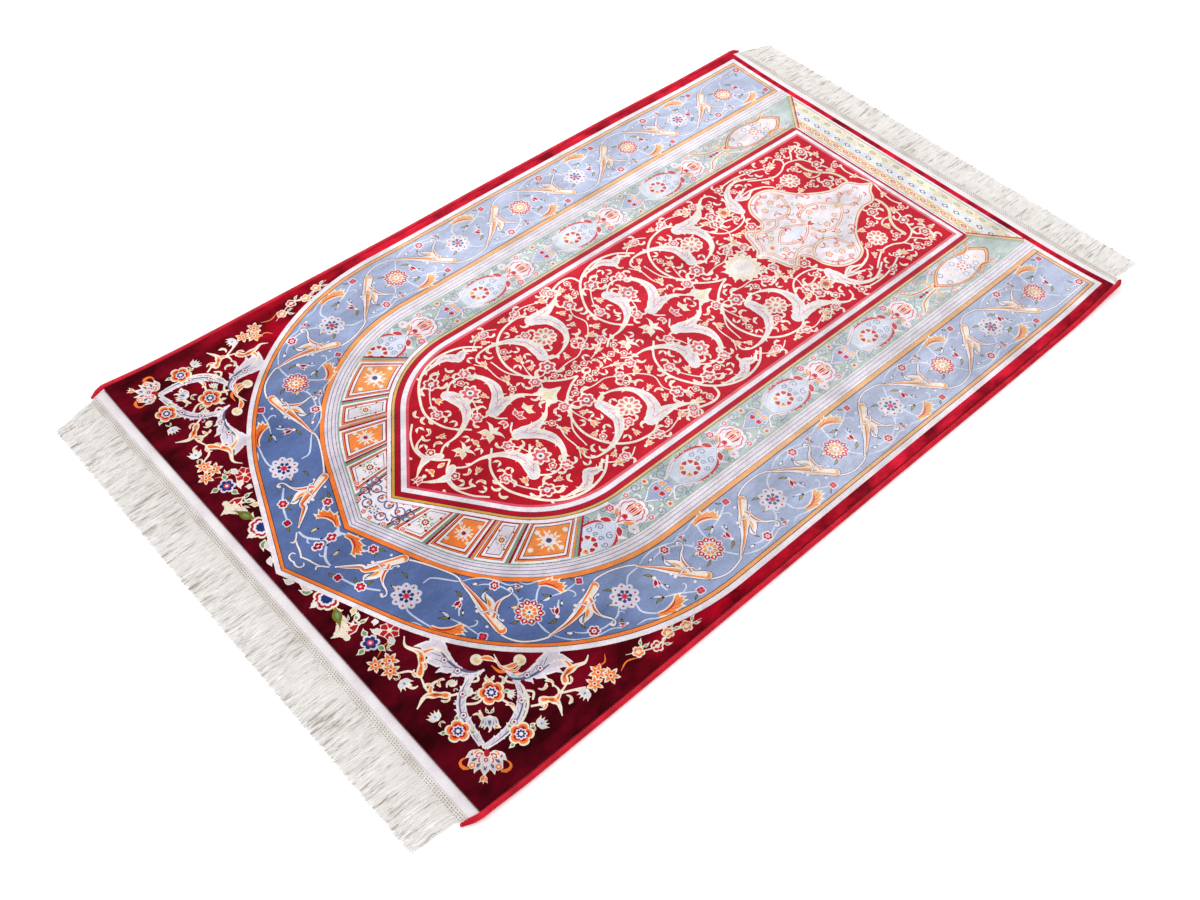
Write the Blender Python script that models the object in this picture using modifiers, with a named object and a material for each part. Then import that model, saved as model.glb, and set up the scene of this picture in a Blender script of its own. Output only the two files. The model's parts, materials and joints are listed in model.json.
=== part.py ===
"""A prayer rug of about 0.70 x 1.20 m, lying flat: a short-pile cloth with overcast long sides and a knotted fringe
sewn along each end. Metres, +Z up, +X across the rug and +Y along it, from the near end to the far end. The origin is
under the middle of the rug, on the surface that it lies on."""

import math
import random

import bmesh
import bpy

# Driving dimensions.
RUG_WIDTH = 0.7006
PILE_LENGTH = 1.058
RUG_THICKNESS = 0.005  # foundation and pile
BINDING_WIDTH = 0.007
BINDING_HEIGHT = 0.005
SEWN_GAP = 0.0003  # between pieces that are sewn together
HEADING_WIDTH = 0.0215  # woven tape and the knotted band beside it
HEADING_THICKNESS = 0.0018
FRINGE_LENGTH = 0.0502
LOCKS_PER_END = 130
LOCK_SHARE = 0.74  # of the pitch from one lock to the next
LOCK_SWING = 0.22  # how far a lock strays, as a share of the gap beside it
LOCK_CUT = 0.004  # how unevenly the tips are cut
CURL_REACH = 0.13  # how far in from a corner the rug curls up
PILE_COLUMNS = 16
PILE_ROWS = 26
EDGE_CROWDING = 0.55  # how much closer the pile's rows and columns lie near its edges
OVAL_SIDES = 8

HALF_WIDTH = RUG_WIDTH / 2
HALF_LENGTH = PILE_LENGTH / 2
END_REACH = SEWN_GAP + HEADING_WIDTH + FRINGE_LENGTH

# How the long sides wander: distance from the near end of the pile, how far the left side draws in, and the right.
SIDE_WANDER = (
    (0.000, 0.0000, 0.0022),
    (0.060, 0.0012, 0.0006),
    (0.200, 0.0026, 0.0000),
    (0.400, 0.0036, 0.0002),
    (0.600, 0.0014, 0.0004),
    (0.800, 0.0008, 0.0000),
    (0.950, 0.0026, 0.0004),
    (1.058, 0.0034, 0.0030),
)

# Each corner: side, end, how high it curls, how far the binding's tail runs on, and how far the tail draws in.
CORNERS = (
    (-1, -1, 0.0060, 0.0160, 0.0030),
    (1, -1, 0.0020, 0.0200, 0.0060),
    (-1, 1, 0.0035, 0.0160, 0.0020),
    (1, 1, 0.0070, 0.0210, 0.0050),
)

# Along a lock, from its root: share of its length, share of its width, thickness, share of its lean, share of its bow.
LOCK_STATIONS = (
    (0.30, 1.04, 0.0017, 0.18, 0.8),
    (0.66, 1.06, 0.0015, 0.60, -0.5),
    (1.00, 0.78, 0.0011, 1.00, 0.0),
)

# How the fringe of each end leans: end, lean at the left, in the middle and at the right, and its random seed.
FRINGE_LEAN = (
    (-1, 0.0110, 0.0010, -0.0030, 11),
    (1, 0.0120, -0.0020, 0.0015, 23),
)


def smooth(t):
    t = min(max(t, 0.0), 1.0)
    return t * t * (3 - 2 * t)


def corner_of(side, end):
    return next(row for row in CORNERS if row[0] == side and row[1] == end)


def side_wander(side, y):
    """How far a long side draws in at y."""
    column = 1 if side < 0 else 2
    along = min(max(y + HALF_LENGTH, 0.0), PILE_LENGTH)
    for start, end in zip(SIDE_WANDER, SIDE_WANDER[1:]):
        if along <= end[0]:
            t = smooth((along - start[0]) / (end[0] - start[0]))
            return start[column] + (end[column] - start[column]) * t
    return SIDE_WANDER[-1][column]


def binding_x(side, y):
    """The middle of the binding, which follows the pile and then bends in round the end of the heading."""
    beyond = abs(y) - HALF_LENGTH
    draw = side_wander(side, y)
    if beyond > 0:
        tail = corner_of(side, math.copysign(1, y))
        draw += tail[4] * min(beyond / tail[3], 1.2) ** 1.5
    return side * (HALF_WIDTH - BINDING_WIDTH / 2 - draw)


def cloth_x(side, y):
    """The side edge of the pile and of each heading, just clear of the binding."""
    return binding_x(side, y) - side * (BINDING_WIDTH / 2 + SEWN_GAP)


def curl(x, y):
    """How high the underside lies at a point: 0 but near the corners."""
    height = 0.0
    for side, end, corner_height, _, _ in CORNERS:
        across = (HALF_WIDTH - side * x) / CURL_REACH
        inward = HALF_LENGTH - end * y
        along = inward / CURL_REACH if inward > 0 else -inward / (HEADING_WIDTH + FRINGE_LENGTH * 0.7)
        height += corner_height * max(1 - across, 0) ** 2 * max(1 - along, 0) ** 2
    return height


def crowded(t):
    """Moves -1..1 towards its ends, for closer spacing there."""
    return t * (1 + EDGE_CROWDING * (1 - t * t) / 2)


def material(name, colour, roughness, sheen=0.0):
    made = bpy.data.materials.new(name)
    made.use_nodes = True
    shader = made.node_tree.nodes["Principled BSDF"]
    shader.inputs["Base Color"].default_value = (*colour, 1)
    shader.inputs["Roughness"].default_value = roughness
    shader.inputs["Metallic"].default_value = 0.0
    shader.inputs["Sheen Weight"].default_value = sheen
    made.diffuse_color = (*colour, 1)
    return made


def add_object(name, data, finish, collection, parent):
    data.materials.append(finish)
    made = bpy.data.objects.new(name, data)
    made.parent = parent
    collection.objects.link(made)
    return made


def make_pile(collection, parent, finish):
    """The cloth: one sheet whose underside is flat but at its corners."""
    bm = bmesh.new()
    bmesh.ops.create_grid(bm, x_segments=PILE_COLUMNS, y_segments=PILE_ROWS, size=1)
    for vert in bm.verts:
        y = HALF_LENGTH * crowded(vert.co.y)
        across = (crowded(vert.co.x) + 1) / 2
        left, right = cloth_x(-1, y), cloth_x(1, y)
        x = left + (right - left) * across
        vert.co = (x, y, curl(x, y))
    mesh = bpy.data.meshes.new("rug_pile")
    bm.to_mesh(mesh)
    bm.free()
    pile = add_object("rug_pile", mesh, finish, collection, parent)
    thicken = pile.modifiers.new("Thickness", "SOLIDIFY")
    thicken.thickness = RUG_THICKNESS
    thicken.offset = 1
    return pile


def pile_rows():
    """The places along the rug where the pile has a row of points."""
    return [HALF_LENGTH * crowded(2 * row / PILE_ROWS - 1) for row in range(PILE_ROWS + 1)]


def binding_stations(side):
    """(y, radius share) along one binding, from the tip of its near tail to the tip of its far one."""
    tail_steps = ((1.0, 0.62), (0.85, 0.85), (0.55, 0.97), (0.25, 1.0))
    near, far = (corner_of(side, end)[3] for end in (-1, 1))
    stations = [(-HALF_LENGTH - near * reach, share) for reach, share in tail_steps]
    stations += [(y, 1.0) for y in pile_rows()]
    stations += [(HALF_LENGTH + far * reach, share) for reach, share in reversed(tail_steps)]
    return stations


def make_oval(cutters):
    """The binding's section."""
    oval = bpy.data.curves.new("binding_oval", "CURVE")
    oval.dimensions = "2D"
    spline = oval.splines.new("POLY")
    spline.points.add(OVAL_SIDES - 1)
    spline.use_cyclic_u = True
    for index, point in enumerate(spline.points):
        angle = -2 * math.pi * (index + 0.5) / OVAL_SIDES  # this way round the tube's sides face out
        reach = 1 / math.cos(math.pi / OVAL_SIDES)
        x = math.cos(angle) * reach * BINDING_WIDTH / 2
        y = math.sin(angle) * reach * BINDING_HEIGHT / 2
        point.co = (x, y, 0, 1)
    guide = bpy.data.objects.new("binding_oval", oval)
    guide.hide_render = True
    guide.display_type = "WIRE"
    cutters.objects.link(guide)
    return guide


def make_binding(name, side, collection, parent, finish, oval):
    """Yarn overcast along one long side, as a tube with an oval section."""
    curve = bpy.data.curves.new(name, "CURVE")
    curve.dimensions = "3D"
    curve.twist_mode = "Z_UP"
    curve.bevel_mode = "OBJECT"
    curve.bevel_object = oval
    curve.use_fill_caps = True
    spline = curve.splines.new("POLY")
    stations = binding_stations(side)
    spline.points.add(len(stations) - 1)
    for point, (y, share) in zip(spline.points, stations):
        x = binding_x(side, y)
        point.co = (x, y, curl(x, y) + share * BINDING_HEIGHT / 2, 1)
        point.radius = share
    return add_object(name, curve, finish, collection, parent)


def lean_of(row, across):
    """How far a lock's tip moves sideways, from its place across the rug, 0 to 1."""
    _, left, middle, right, _ = row
    if across < 0.5:
        return left + (middle - left) * smooth(across / 0.3)
    return middle + (right - middle) * smooth((across - 0.7) / 0.3)


def from_left(faces):
    return sorted(faces, key=lambda face: face.calc_center_median().x)


def make_fringe(name, row, collection, parent, finish):
    """A heading strip with its locks: each lock is drawn out of its own face along the strip's outer edge."""
    end, seed = row[0], row[4]
    inner = end * (HALF_LENGTH + SEWN_GAP)
    outer = inner + end * HEADING_WIDTH
    tip_y = end * (HALF_LENGTH + END_REACH)
    columns = 2 * LOCKS_PER_END - 1
    pitch = 1 / (LOCKS_PER_END - 1 + LOCK_SHARE)

    def column_share(index):
        return (index // 2) * pitch + (index % 2) * LOCK_SHARE * pitch

    def at(share, y):
        left, right = cloth_x(-1, y), cloth_x(1, y)
        return left + (right - left) * share

    bm = bmesh.new()
    bmesh.ops.create_grid(bm, x_segments=columns, y_segments=1, size=1)
    for vert in bm.verts:
        share = column_share(round((vert.co.x + 1) / 2 * columns))
        y = outer if vert.co.y * end > 0 else inner
        x = at(share, y)
        vert.co = (x, y, curl(x, y))
    raised = bmesh.ops.extrude_face_region(bm, geom=bm.faces[:], use_keep_orig=True)["geom"]
    for part in raised:
        if isinstance(part, bmesh.types.BMVert):
            part.co.z += HEADING_THICKNESS
    bmesh.ops.recalc_face_normals(bm, faces=bm.faces)

    edge_faces = [
        face for face in bm.faces
        if all(abs(vert.co.y - outer) < 1e-6 for vert in face.verts)
    ]
    locks = from_left(edge_faces)[::2]

    chance = random.Random(seed)
    cuts = [chance.uniform(0, LOCK_CUT) for _ in locks]
    cuts[len(cuts) // 3] = 0.0
    sways = [(chance.uniform(-1, 1), chance.uniform(-1, 1)) for _ in locks]
    lock_width = (at(1, outer) - at(0, outer)) * LOCK_SHARE * pitch
    spare = (at(1, outer) - at(0, outer)) * pitch - lock_width
    centres = [face.calc_center_median().x for face in locks]
    for length_share, width_share, height, lean_share, bow_share in LOCK_STATIONS:
        locks = from_left(bmesh.ops.extrude_discrete_faces(bm, faces=locks)["faces"])
        for index, face in enumerate(locks):
            across = index / (LOCKS_PER_END - 1)
            sway, bow = sways[index]
            swing = (sway * lean_share + bow * bow_share) * spare * LOCK_SWING
            x = centres[index] + lean_of(row, across) * lean_share + swing
            y = outer + (tip_y - end * cuts[index] - outer) * length_share
            middle = face.calc_center_median()
            floor = curl(x, y) if length_share < 1 else 0.0
            for vert in face.verts:
                side = math.copysign(1, vert.co.x - middle.x)
                raised_by = height if vert.co.z > middle.z else 0.0
                vert.co = (x + side * lock_width * width_share / 2, y, floor + raised_by)
    bmesh.ops.recalc_face_normals(bm, faces=bm.faces)
    mesh = bpy.data.meshes.new(name)
    bm.to_mesh(mesh)
    bm.free()
    return add_object(name, mesh, finish, collection, parent)


def main():
    for old in list(bpy.data.objects):
        bpy.data.objects.remove(old, do_unlink=True)
    collection = bpy.data.collections.new("prayer_rug")
    guides = bpy.data.collections.new("guides")
    bpy.context.scene.collection.children.link(collection)
    bpy.context.scene.collection.children.link(guides)
    middle = bpy.data.objects.new("rug_middle", None)
    collection.objects.link(middle)

    silk_pile = material("red_pile", (0.32, 0.006, 0.02), 0.55, 0.5)
    red_yarn = material("red_binding_yarn", (0.52, 0.015, 0.035), 0.6)
    cream_yarn = material("cream_fringe_yarn", (0.8, 0.76, 0.7), 0.7)
    make_pile(collection, middle, silk_pile)
    oval = make_oval(guides)
    make_binding("side_binding_left", -1, collection, middle, red_yarn, oval)
    make_binding("side_binding_right", 1, collection, middle, red_yarn, oval)
    for name, row in zip(("fringe_near", "fringe_far"), FRINGE_LEAN):
        make_fringe(name, row, collection, middle, cream_yarn)


main()
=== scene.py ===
import cmath
import json
import math
import random

import bmesh
import bpy
from mathutils import Matrix, Vector
from mathutils.geometry import delaunay_2d_cdt

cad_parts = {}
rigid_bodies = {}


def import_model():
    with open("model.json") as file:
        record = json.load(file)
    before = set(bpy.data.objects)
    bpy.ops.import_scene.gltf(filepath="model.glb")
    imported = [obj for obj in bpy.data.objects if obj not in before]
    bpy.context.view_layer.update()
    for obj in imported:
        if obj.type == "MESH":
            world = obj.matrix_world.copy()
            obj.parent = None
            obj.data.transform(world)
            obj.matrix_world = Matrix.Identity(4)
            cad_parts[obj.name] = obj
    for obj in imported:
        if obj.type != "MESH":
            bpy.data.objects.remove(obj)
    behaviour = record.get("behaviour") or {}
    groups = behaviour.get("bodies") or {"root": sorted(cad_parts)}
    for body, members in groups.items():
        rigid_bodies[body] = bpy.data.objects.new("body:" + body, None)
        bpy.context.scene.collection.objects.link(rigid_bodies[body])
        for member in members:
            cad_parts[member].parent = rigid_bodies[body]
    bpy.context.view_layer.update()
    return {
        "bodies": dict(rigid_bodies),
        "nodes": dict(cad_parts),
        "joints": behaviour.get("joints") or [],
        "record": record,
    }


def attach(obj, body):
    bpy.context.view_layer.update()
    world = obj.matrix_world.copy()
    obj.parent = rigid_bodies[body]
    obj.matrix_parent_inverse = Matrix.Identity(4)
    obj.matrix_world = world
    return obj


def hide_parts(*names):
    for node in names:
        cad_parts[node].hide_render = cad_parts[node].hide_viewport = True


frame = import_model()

print("frame loaded:", ", ".join(sorted(frame["nodes"])))

# ---- camera, floor and light

view = {
    "place": (0.72781, -0.78986, 1.10443),
    "right": (0.67950133, 0.73285084, 0.03475021),
    "up": (-0.5848941, 0.51250481, 0.62867933),
    "ahead": (-0.44291853, 0.44751364, -0.77688784),
    "lens": 37.3665,
}
studio = {"floor": "#FFFFFF", "floorSide": 9.0, "floorGlow": 0.22, "floorRoughness": 0.9, "floorShine": 0.1,
          "skyStrength": 0.72, "nearest": 0.01}
softLamps = (       # name, place, turn in degrees, size, watts
    ("overhead", (0.1, 0.3, 2.6), (0, 0, 0), 3.2, 20.0),
    ("windowSide", (-1.9, 1.3, 1.7), (0, -52, -30), 1.8, 22.0),
)


def hexColour(code, alpha=1.0):
    parts = [int(code[i:i + 2], 16) / 255 for i in (1, 3, 5)]
    return tuple(p / 12.92 if p <= 0.04045 else ((p + 0.055) / 1.055) ** 2.4 for p in parts) + (alpha,)


def feed(tree, node, inputs):
    for key, value in inputs.items():
        if isinstance(value, bpy.types.NodeSocket):
            tree.links.new(value, node.inputs[key])
        else:
            node.inputs[key].default_value = value


def addNode(tree, kind, inputs=(), **settings):
    node = tree.nodes.new(kind)
    for name, value in settings.items():
        setattr(node, name, value)
    feed(tree, node, dict(inputs))
    return node


# a short way to chain nodes: each call adds one and gives its first output
def wiring(tree):
    return lambda kind, inputs=(), **settings: addNode(tree, kind, inputs, **settings).outputs[0]


def newMaterial(name):
    made = bpy.data.materials.new(name)
    made.use_nodes = True
    tree = made.node_tree
    return made, tree, tree.nodes["Principled BSDF"]


def twoTone(tree, share, dark, light):
    ramp = addNode(tree, "ShaderNodeValToRGB", {0: share})
    for stop, code in zip(ramp.color_ramp.elements, (dark, light)):
        stop.color = hexColour(code)
    return ramp.outputs[0]


def linked(name, data):
    piece = bpy.data.objects.new(name, data)
    bpy.context.scene.collection.objects.link(piece)
    return piece


def setStage():
    scene = bpy.context.scene
    camera = linked("camera", bpy.data.cameras.new("camera"))
    columns = [Vector(view["right"]), Vector(view["up"]), -Vector(view["ahead"])]
    camera.matrix_world = Matrix.Translation(view["place"]) @ Matrix(columns).transposed().to_4x4()
    camera.data.lens = view["lens"]
    camera.data.clip_start = studio["nearest"]
    scene.camera = camera
    scene.view_settings.view_transform = "Standard"

    floor = bpy.data.meshes.new("floor")
    reach = studio["floorSide"] / 2
    floor.from_pydata([(-reach, -reach, 0), (reach, -reach, 0), (reach, reach, 0), (-reach, reach, 0)], [],
                      [(0, 1, 2, 3)])
    paint, tree, shader = newMaterial("paleStudioFloor")
    feed(tree, shader, {"Base Color": hexColour(studio["floor"]), "Roughness": studio["floorRoughness"],
                        "Specular IOR Level": studio["floorShine"], "Emission Color": (1, 1, 1, 1),
                        "Emission Strength": studio["floorGlow"]})
    floor.materials.append(paint)
    linked("floor", floor)

    sky = bpy.data.worlds.new("studioSky")
    sky.use_nodes = True
    feed(sky.node_tree, sky.node_tree.nodes["Background"], {"Color": (1, 1, 1, 1), "Strength": studio["skyStrength"]})
    scene.world = sky
    for name, place, turn, size, watts in softLamps:
        lamp = bpy.data.lights.new(name, "AREA")
        lamp.shape, lamp.size, lamp.energy = "DISK", size, watts
        lampObject = linked(name, lamp)
        lampObject.location = place
        lampObject.rotation_euler = [math.radians(a) for a in turn]


setStage()
print("stage set")

# ---- the rug's outline, as the CAD has it: metres, from the middle of the rug

rug = {
    "width": 0.7006, "pile": 1.058, "bindingWidth": 0.007, "bindingHeight": 0.005,
    "sewnGap": 0.0003, "heading": 0.0215, "fringe": 0.0502, "curlReach": 0.13,
    # distance from the near end, how far the left side draws in, and the right
    "wander": ((0.000, 0.0000, 0.0022), (0.060, 0.0012, 0.0006), (0.200, 0.0026, 0.0000), (0.400, 0.0036, 0.0002),
               (0.600, 0.0014, 0.0004), (0.800, 0.0008, 0.0000), (0.950, 0.0026, 0.0004), (1.058, 0.0034, 0.0030)),
    # side, end, how high the corner curls, how far the binding's tail runs on, how far the tail draws in
    "corners": ((-1, -1, 0.0060, 0.0160, 0.0030), (1, -1, 0.0020, 0.0200, 0.0060),
                (-1, 1, 0.0035, 0.0160, 0.0020), (1, 1, 0.0070, 0.0210, 0.0050)),
}
halfWidth, halfPile = rug["width"] / 2, rug["pile"] / 2


def smooth(t):
    t = min(max(t, 0.0), 1.0)
    return t * t * (3 - 2 * t)


def cornerOf(side, end):
    return next(row for row in rug["corners"] if row[:2] == (side, end))


def drawIn(side, y):
    column = 1 if side < 0 else 2
    along = min(max(y + halfPile, 0.0), rug["pile"])
    for start, end in zip(rug["wander"], rug["wander"][1:]):
        if along <= end[0]:
            return start[column] + (end[column] - start[column]) * smooth((along - start[0]) / (end[0] - start[0]))
    return rug["wander"][-1][column]


def bindingX(side, y):
    beyond = abs(y) - halfPile
    draw = drawIn(side, y)
    if beyond > 0:
        tail = cornerOf(side, 1 if y > 0 else -1)
        draw += tail[4] * min(beyond / tail[3], 1.2) ** 1.5
    return side * (halfWidth - rug["bindingWidth"] / 2 - draw)


def clothX(side, y):
    return bindingX(side, y) - side * (rug["bindingWidth"] / 2 + rug["sewnGap"])


def curl(x, y):
    height = 0.0
    for side, end, rise, _, _ in rug["corners"]:
        across = (halfWidth - side * x) / rug["curlReach"]
        inward = halfPile - end * y
        along = inward / rug["curlReach"] if inward > 0 else -inward / (rug["heading"] + rug["fringe"] * 0.7)
        height += rise * max(1 - across, 0) ** 2 * max(1 - along, 0) ** 2
    return height


def asMesh(name, points, faces, finish):
    mesh = bpy.data.meshes.new(name)
    mesh.from_pydata(points, [], faces)
    mesh.materials.append(finish)
    return linked(name, mesh)


def finished(piece):
    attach(piece, "root")
    return piece


# ---- drawing helpers: a point is a complex number in millimetres, x across from the rug's middle line and y from the
# near end of the pile. Only the right half is drawn, and the left half is its mirror image.

drawn = []                                  # (yarn, outline, zone), later ones on top
pen = {"zone": None, "bend": None}          # the zone that clips what is drawn, and the band that it is bent along
polar = cmath.rect


def lay(yarn, outline, zone=None):
    if len(outline) >= 3:
        if pen["bend"]:
            outline = [pen["bend"](p) for p in outline]
        drawn.append((yarn, outline, zone or pen["zone"]))


def moved(points, place=0j, angle=0.0, size=1.0):
    factor = polar(size, angle)
    return [place + factor * p for p in points]


def placed(at, side=1):
    return lambda x, y: at + complex(side * x, y)


def ellipse(width, height=None, count=10):
    height = width if height is None else height
    return [complex(width / 2 * math.cos(a), height / 2 * math.sin(a)) for a in (2 * math.pi * i / count
        for i in range(count))]


def disc(yarn, place, width, height=None, count=10, angle=0.0):
    lay(yarn, moved(ellipse(width, height, count), place, angle))


def petalRing(radius, petals, depth=0.3, point=0.0, perPetal=5):
    made = []
    for i in range(petals * perPetal):
        across = abs((i / perPetal % 1.0) * 2 - 1)            # 1 between petals, 0 at a petal's middle
        bulge = point * (1 - across) + (1 - point) * math.sqrt(max(1 - (across * 0.95) ** 2, 0.0))
        made.append(polar(radius * (1 - depth * (1 - bulge)), 2 * math.pi * (i / perPetal - 0.5) / petals))
    return made


def ring(yarn, place, angle, *shape):
    lay(yarn, moved(petalRing(*shape), place, angle))


def through(points, steps=7, closed=False):
    n = len(points)

    def at(k):
        if closed:
            return points[k % n]
        if k < 0:
            return 2 * points[0] - points[1]
        return points[k] if k < n else 2 * points[-1] - points[-2]

    made = []
    for k in range(n if closed else n - 1):
        a, b, c, d = at(k - 1), at(k), at(k + 1), at(k + 2)
        for i in range(steps):
            t = i / steps
            made.append(0.5 * (2 * b + (c - a) * t + (2 * a - 5 * b + 4 * c - d) * t * t
                               + (3 * b - a - 3 * c + d) * t ** 3))
    return made if closed else made + [points[-1]]


# a smooth line through points given as x, y, x, y in a frame
def trace(frame, steps, *flat, closed=False):
    return through([frame(x, y) for x, y in zip(flat[::2], flat[1::2])], steps, closed)


def bow(base, tip, bend, count=8):
    middle = (base + tip) / 2 + 1j * (tip - base) * bend * 2
    return [(1 - t) ** 2 * base + 2 * t * (1 - t) * middle + t * t * tip for t in (i / count for i in range(count + 1))]


def coil(centre, angle, turns, outer, inner, count=30, ease=0.9):
    return [centre + polar(outer + (inner - outer) * (i / count) ** ease, angle + 2 * math.pi * turns * i / count)
        for i in range(count + 1)]


def runOf(path):
    run = [0.0]
    for a, b in zip(path, path[1:]):
        run.append(run[-1] + abs(b - a))
    return run


def spotOn(path, share):
    run = runOf(path)
    target = share * run[-1]
    for k in range(len(path) - 1):
        if run[k + 1] >= target:
            step = path[k + 1] - path[k]
            return path[k] + step * (target - run[k]) / ((run[k + 1] - run[k]) or 1), cmath.phase(step)
    return path[-1], cmath.phase(path[-1] - path[-2])


def part(path, start, end):
    run = runOf(path)
    low, high = start * run[-1], end * run[-1]
    return [spotOn(path, start)[0]] + [p for p, r in zip(path, run) if low < r < high] + [spotOn(path, end)[0]]


def widths(*rows):
    def width(t):
        for (a, w), (b, v) in zip(rows, rows[1:]):
            if t <= b:
                s = (t - a) / (b - a)
                return w + (v - w) * s * s * (3 - 2 * s)
        return rows[-1][1]
    return width


def ribbon(path, width, less=0.0):
    run = runOf(path)
    left, right = [], []
    for k, p in enumerate(path):
        ahead = path[min(k + 1, len(path) - 1)] - path[max(k - 1, 0)]
        half = width(run[k] / (run[-1] or 1)) / 2 - less
        if half > 0.04 and ahead:
            left.append(p + 1j * ahead / abs(ahead) * half)
            right.append(p - 1j * ahead / abs(ahead) * half)
    return left + right[::-1] if len(left) > 1 else []


# each layer is a yarn, or a yarn and how far it lies inside the stroke's edge
def stroke(path, width, *layers):
    wide = width if callable(width) else lambda t: width
    for layer in layers:
        yarn, less = (layer, 0.0) if isinstance(layer, str) else layer
        lay(yarn, ribbon(path, wide, less))


def beside(path, off):
    run = runOf(path)
    last = len(path) - 1
    return [p + 1j * polar(off(run[k] / run[-1]), cmath.phase(path[min(k + 1, last)] - path[max(k - 1, 0)]))
        for k, p in enumerate(path)]


def taper(width, start=0.4, end=0.3):
    return widths((0, width * start), (0.3, width), (0.7, width), (1, width * end))


def leafWidth(width, belly=0.4):
    return widths((0, width * 0.12), (belly, width), (1, width * 0.05))


def leaf(base, tip, width, bend, *layers, belly=0.4, count=7):
    stroke(bow(base, tip, bend, count), leafWidth(width, belly), *layers)


def ray(base, reach, angle, *rest, **more):
    leaf(base, base + polar(reach, angle), *rest, **more)


def curlet(place, angle, size, side, *layers):
    path = [place + polar(size * t, angle + side * (0.1 + 1.5 * t * t)) for t in (i / 7 for i in range(8))]
    stroke(path, widths((0, size * 0.14), (0.55, size * 0.26), (0.85, size * 0.36), (1, size * 0.14)), *layers)


def blossom(place, radius, angle=0.0, edge="cream", petal="red", heart="white", dot="navy", petals=5, point=0.0):
    ring(edge, place, angle, radius, petals, 0.36, point)
    ring(petal, place, angle, radius * 0.77, petals, 0.4, point)
    if heart:
        disc(heart, place, radius * 0.72, count=8, angle=angle)
    if dot:
        disc(dot, place, radius * 0.34, count=6, angle=angle)


def rosette(place, radius, angle=0.0, edge="cream", petal="red", heart="white", dot="red", petals=10, inner=0.4,
        second=None, ground=None):
    ring(edge, place, angle, radius, petals, 0.2, 0.35)
    if ground:
        disc(ground, place, radius * 1.3, count=14, angle=angle)
    for k in range(petals):
        a = angle + 2 * math.pi * k / petals
        base, tip = place + polar(radius * inner, a), place + polar(radius * 0.9, a)
        leaf(base, tip, radius * 3.0 / petals, 0.0, petal, belly=0.6, count=5)
        if second:
            leaf(base, base + (tip - base) * 0.72, radius * 1.3 / petals, 0.0, second, belly=0.6, count=4)
    ring(heart, place, angle, radius * 0.42, 7, 0.25, 0.0, 4)
    disc(dot, place, radius * 0.34, count=8, angle=angle)
    disc(heart, place, radius * 0.14, count=6, angle=angle)


def doubleRosette(place, radius, angle, edge, outer, band, inner, heart, dot, petals=10):
    ring(edge, place, angle, radius * 1.08, petals, 0.26, 0.5)
    for k in range(petals):
        a = angle + math.tau * k / petals
        leaf(place + polar(radius * 0.5, a), place + polar(radius, a), radius * 0.5, 0.0, outer, belly=0.5, count=5)
        leaf(place + polar(radius * 0.62, a), place + polar(radius * 0.88, a), radius * 0.15, 0.0, band, count=4)
    ring(band, place, angle + 0.3, radius * 0.6, petals - 2, 0.24, 0.4)
    for k in range(petals - 2):
        a = angle + 0.3 + math.tau * k / (petals - 2)
        leaf(place + polar(radius * 0.2, a), place + polar(radius * 0.54, a), radius * 0.32, 0.0, inner, belly=0.6,
            count=4)
    disc(heart, place, radius * 0.46, count=9, angle=angle)
    disc(dot, place, radius * 0.22, count=6, angle=angle)


acanthusShape = widths((0, 0.75), (0.5, 1.04), (1, 0.6))
plumeShape = widths((0, 0.16), (0.3, 0.5), (0.7, 1.0), (1, 0.85))


def acanthus(path, width, lobes=6, side=1, edge="cream", skin="orange", shadow="brick", shape=acanthusShape,
        spread=0.44, even=0.7):
    for yarn, less in ((edge, 0.0), (skin, width * 0.07)):
        for k in range(lobes):
            share = (k + 0.3) / lobes
            place, angle = spotOn(path, share * 0.88)
            size = width * shape(share)
            for out, reach in ((side, 0.92), (-side, even)):
                tip = place + polar(size * reach, angle + out * spread)
                leaf(place, tip, size * 0.5, out * -0.16, (yarn, less), belly=0.42, count=5)
        stroke(path, lambda t: width * shape(t) * (0.5 if t < 0.8 else 2.5 * (1 - t) + 0.05), (yarn, less))
    stroke(beside(part(path, 0.06, 0.86), lambda t: side * -width * 0.08), taper(width * 0.09), shadow)
    for k in range(1, lobes):
        place, angle = spotOn(path, k / lobes * 0.86)
        stroke([place, place + polar(width * 0.36 * shape(k / lobes), angle + side * 0.55)], taper(width * 0.06),
            shadow)


def bud(place, angle, size, edge="cream", petal="red", heart="orange"):
    ahead = polar(1, angle)
    for side in (0, 1, -1):
        tip = place + ahead * size * (complex(0.95, side * 0.42) if side else 1.08)
        leaf(place, tip, size * (0.5 if side else 0.36), side * -0.12, edge, (petal if side else heart, size * 0.07),
            belly=0.5, count=6)
    disc(edge, place, size * 0.36, count=7)


def sprig(place, angle, size, yarn="olive", edge=None):
    for side in (1, -1):
        tip = place + polar(size, angle + side * 0.5)
        leaf(place, tip, size * 0.4, side * 0.14, *(((edge, 0.0), (yarn, size * 0.08)) if edge else ((yarn, 0.0),)),
            count=5)


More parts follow.
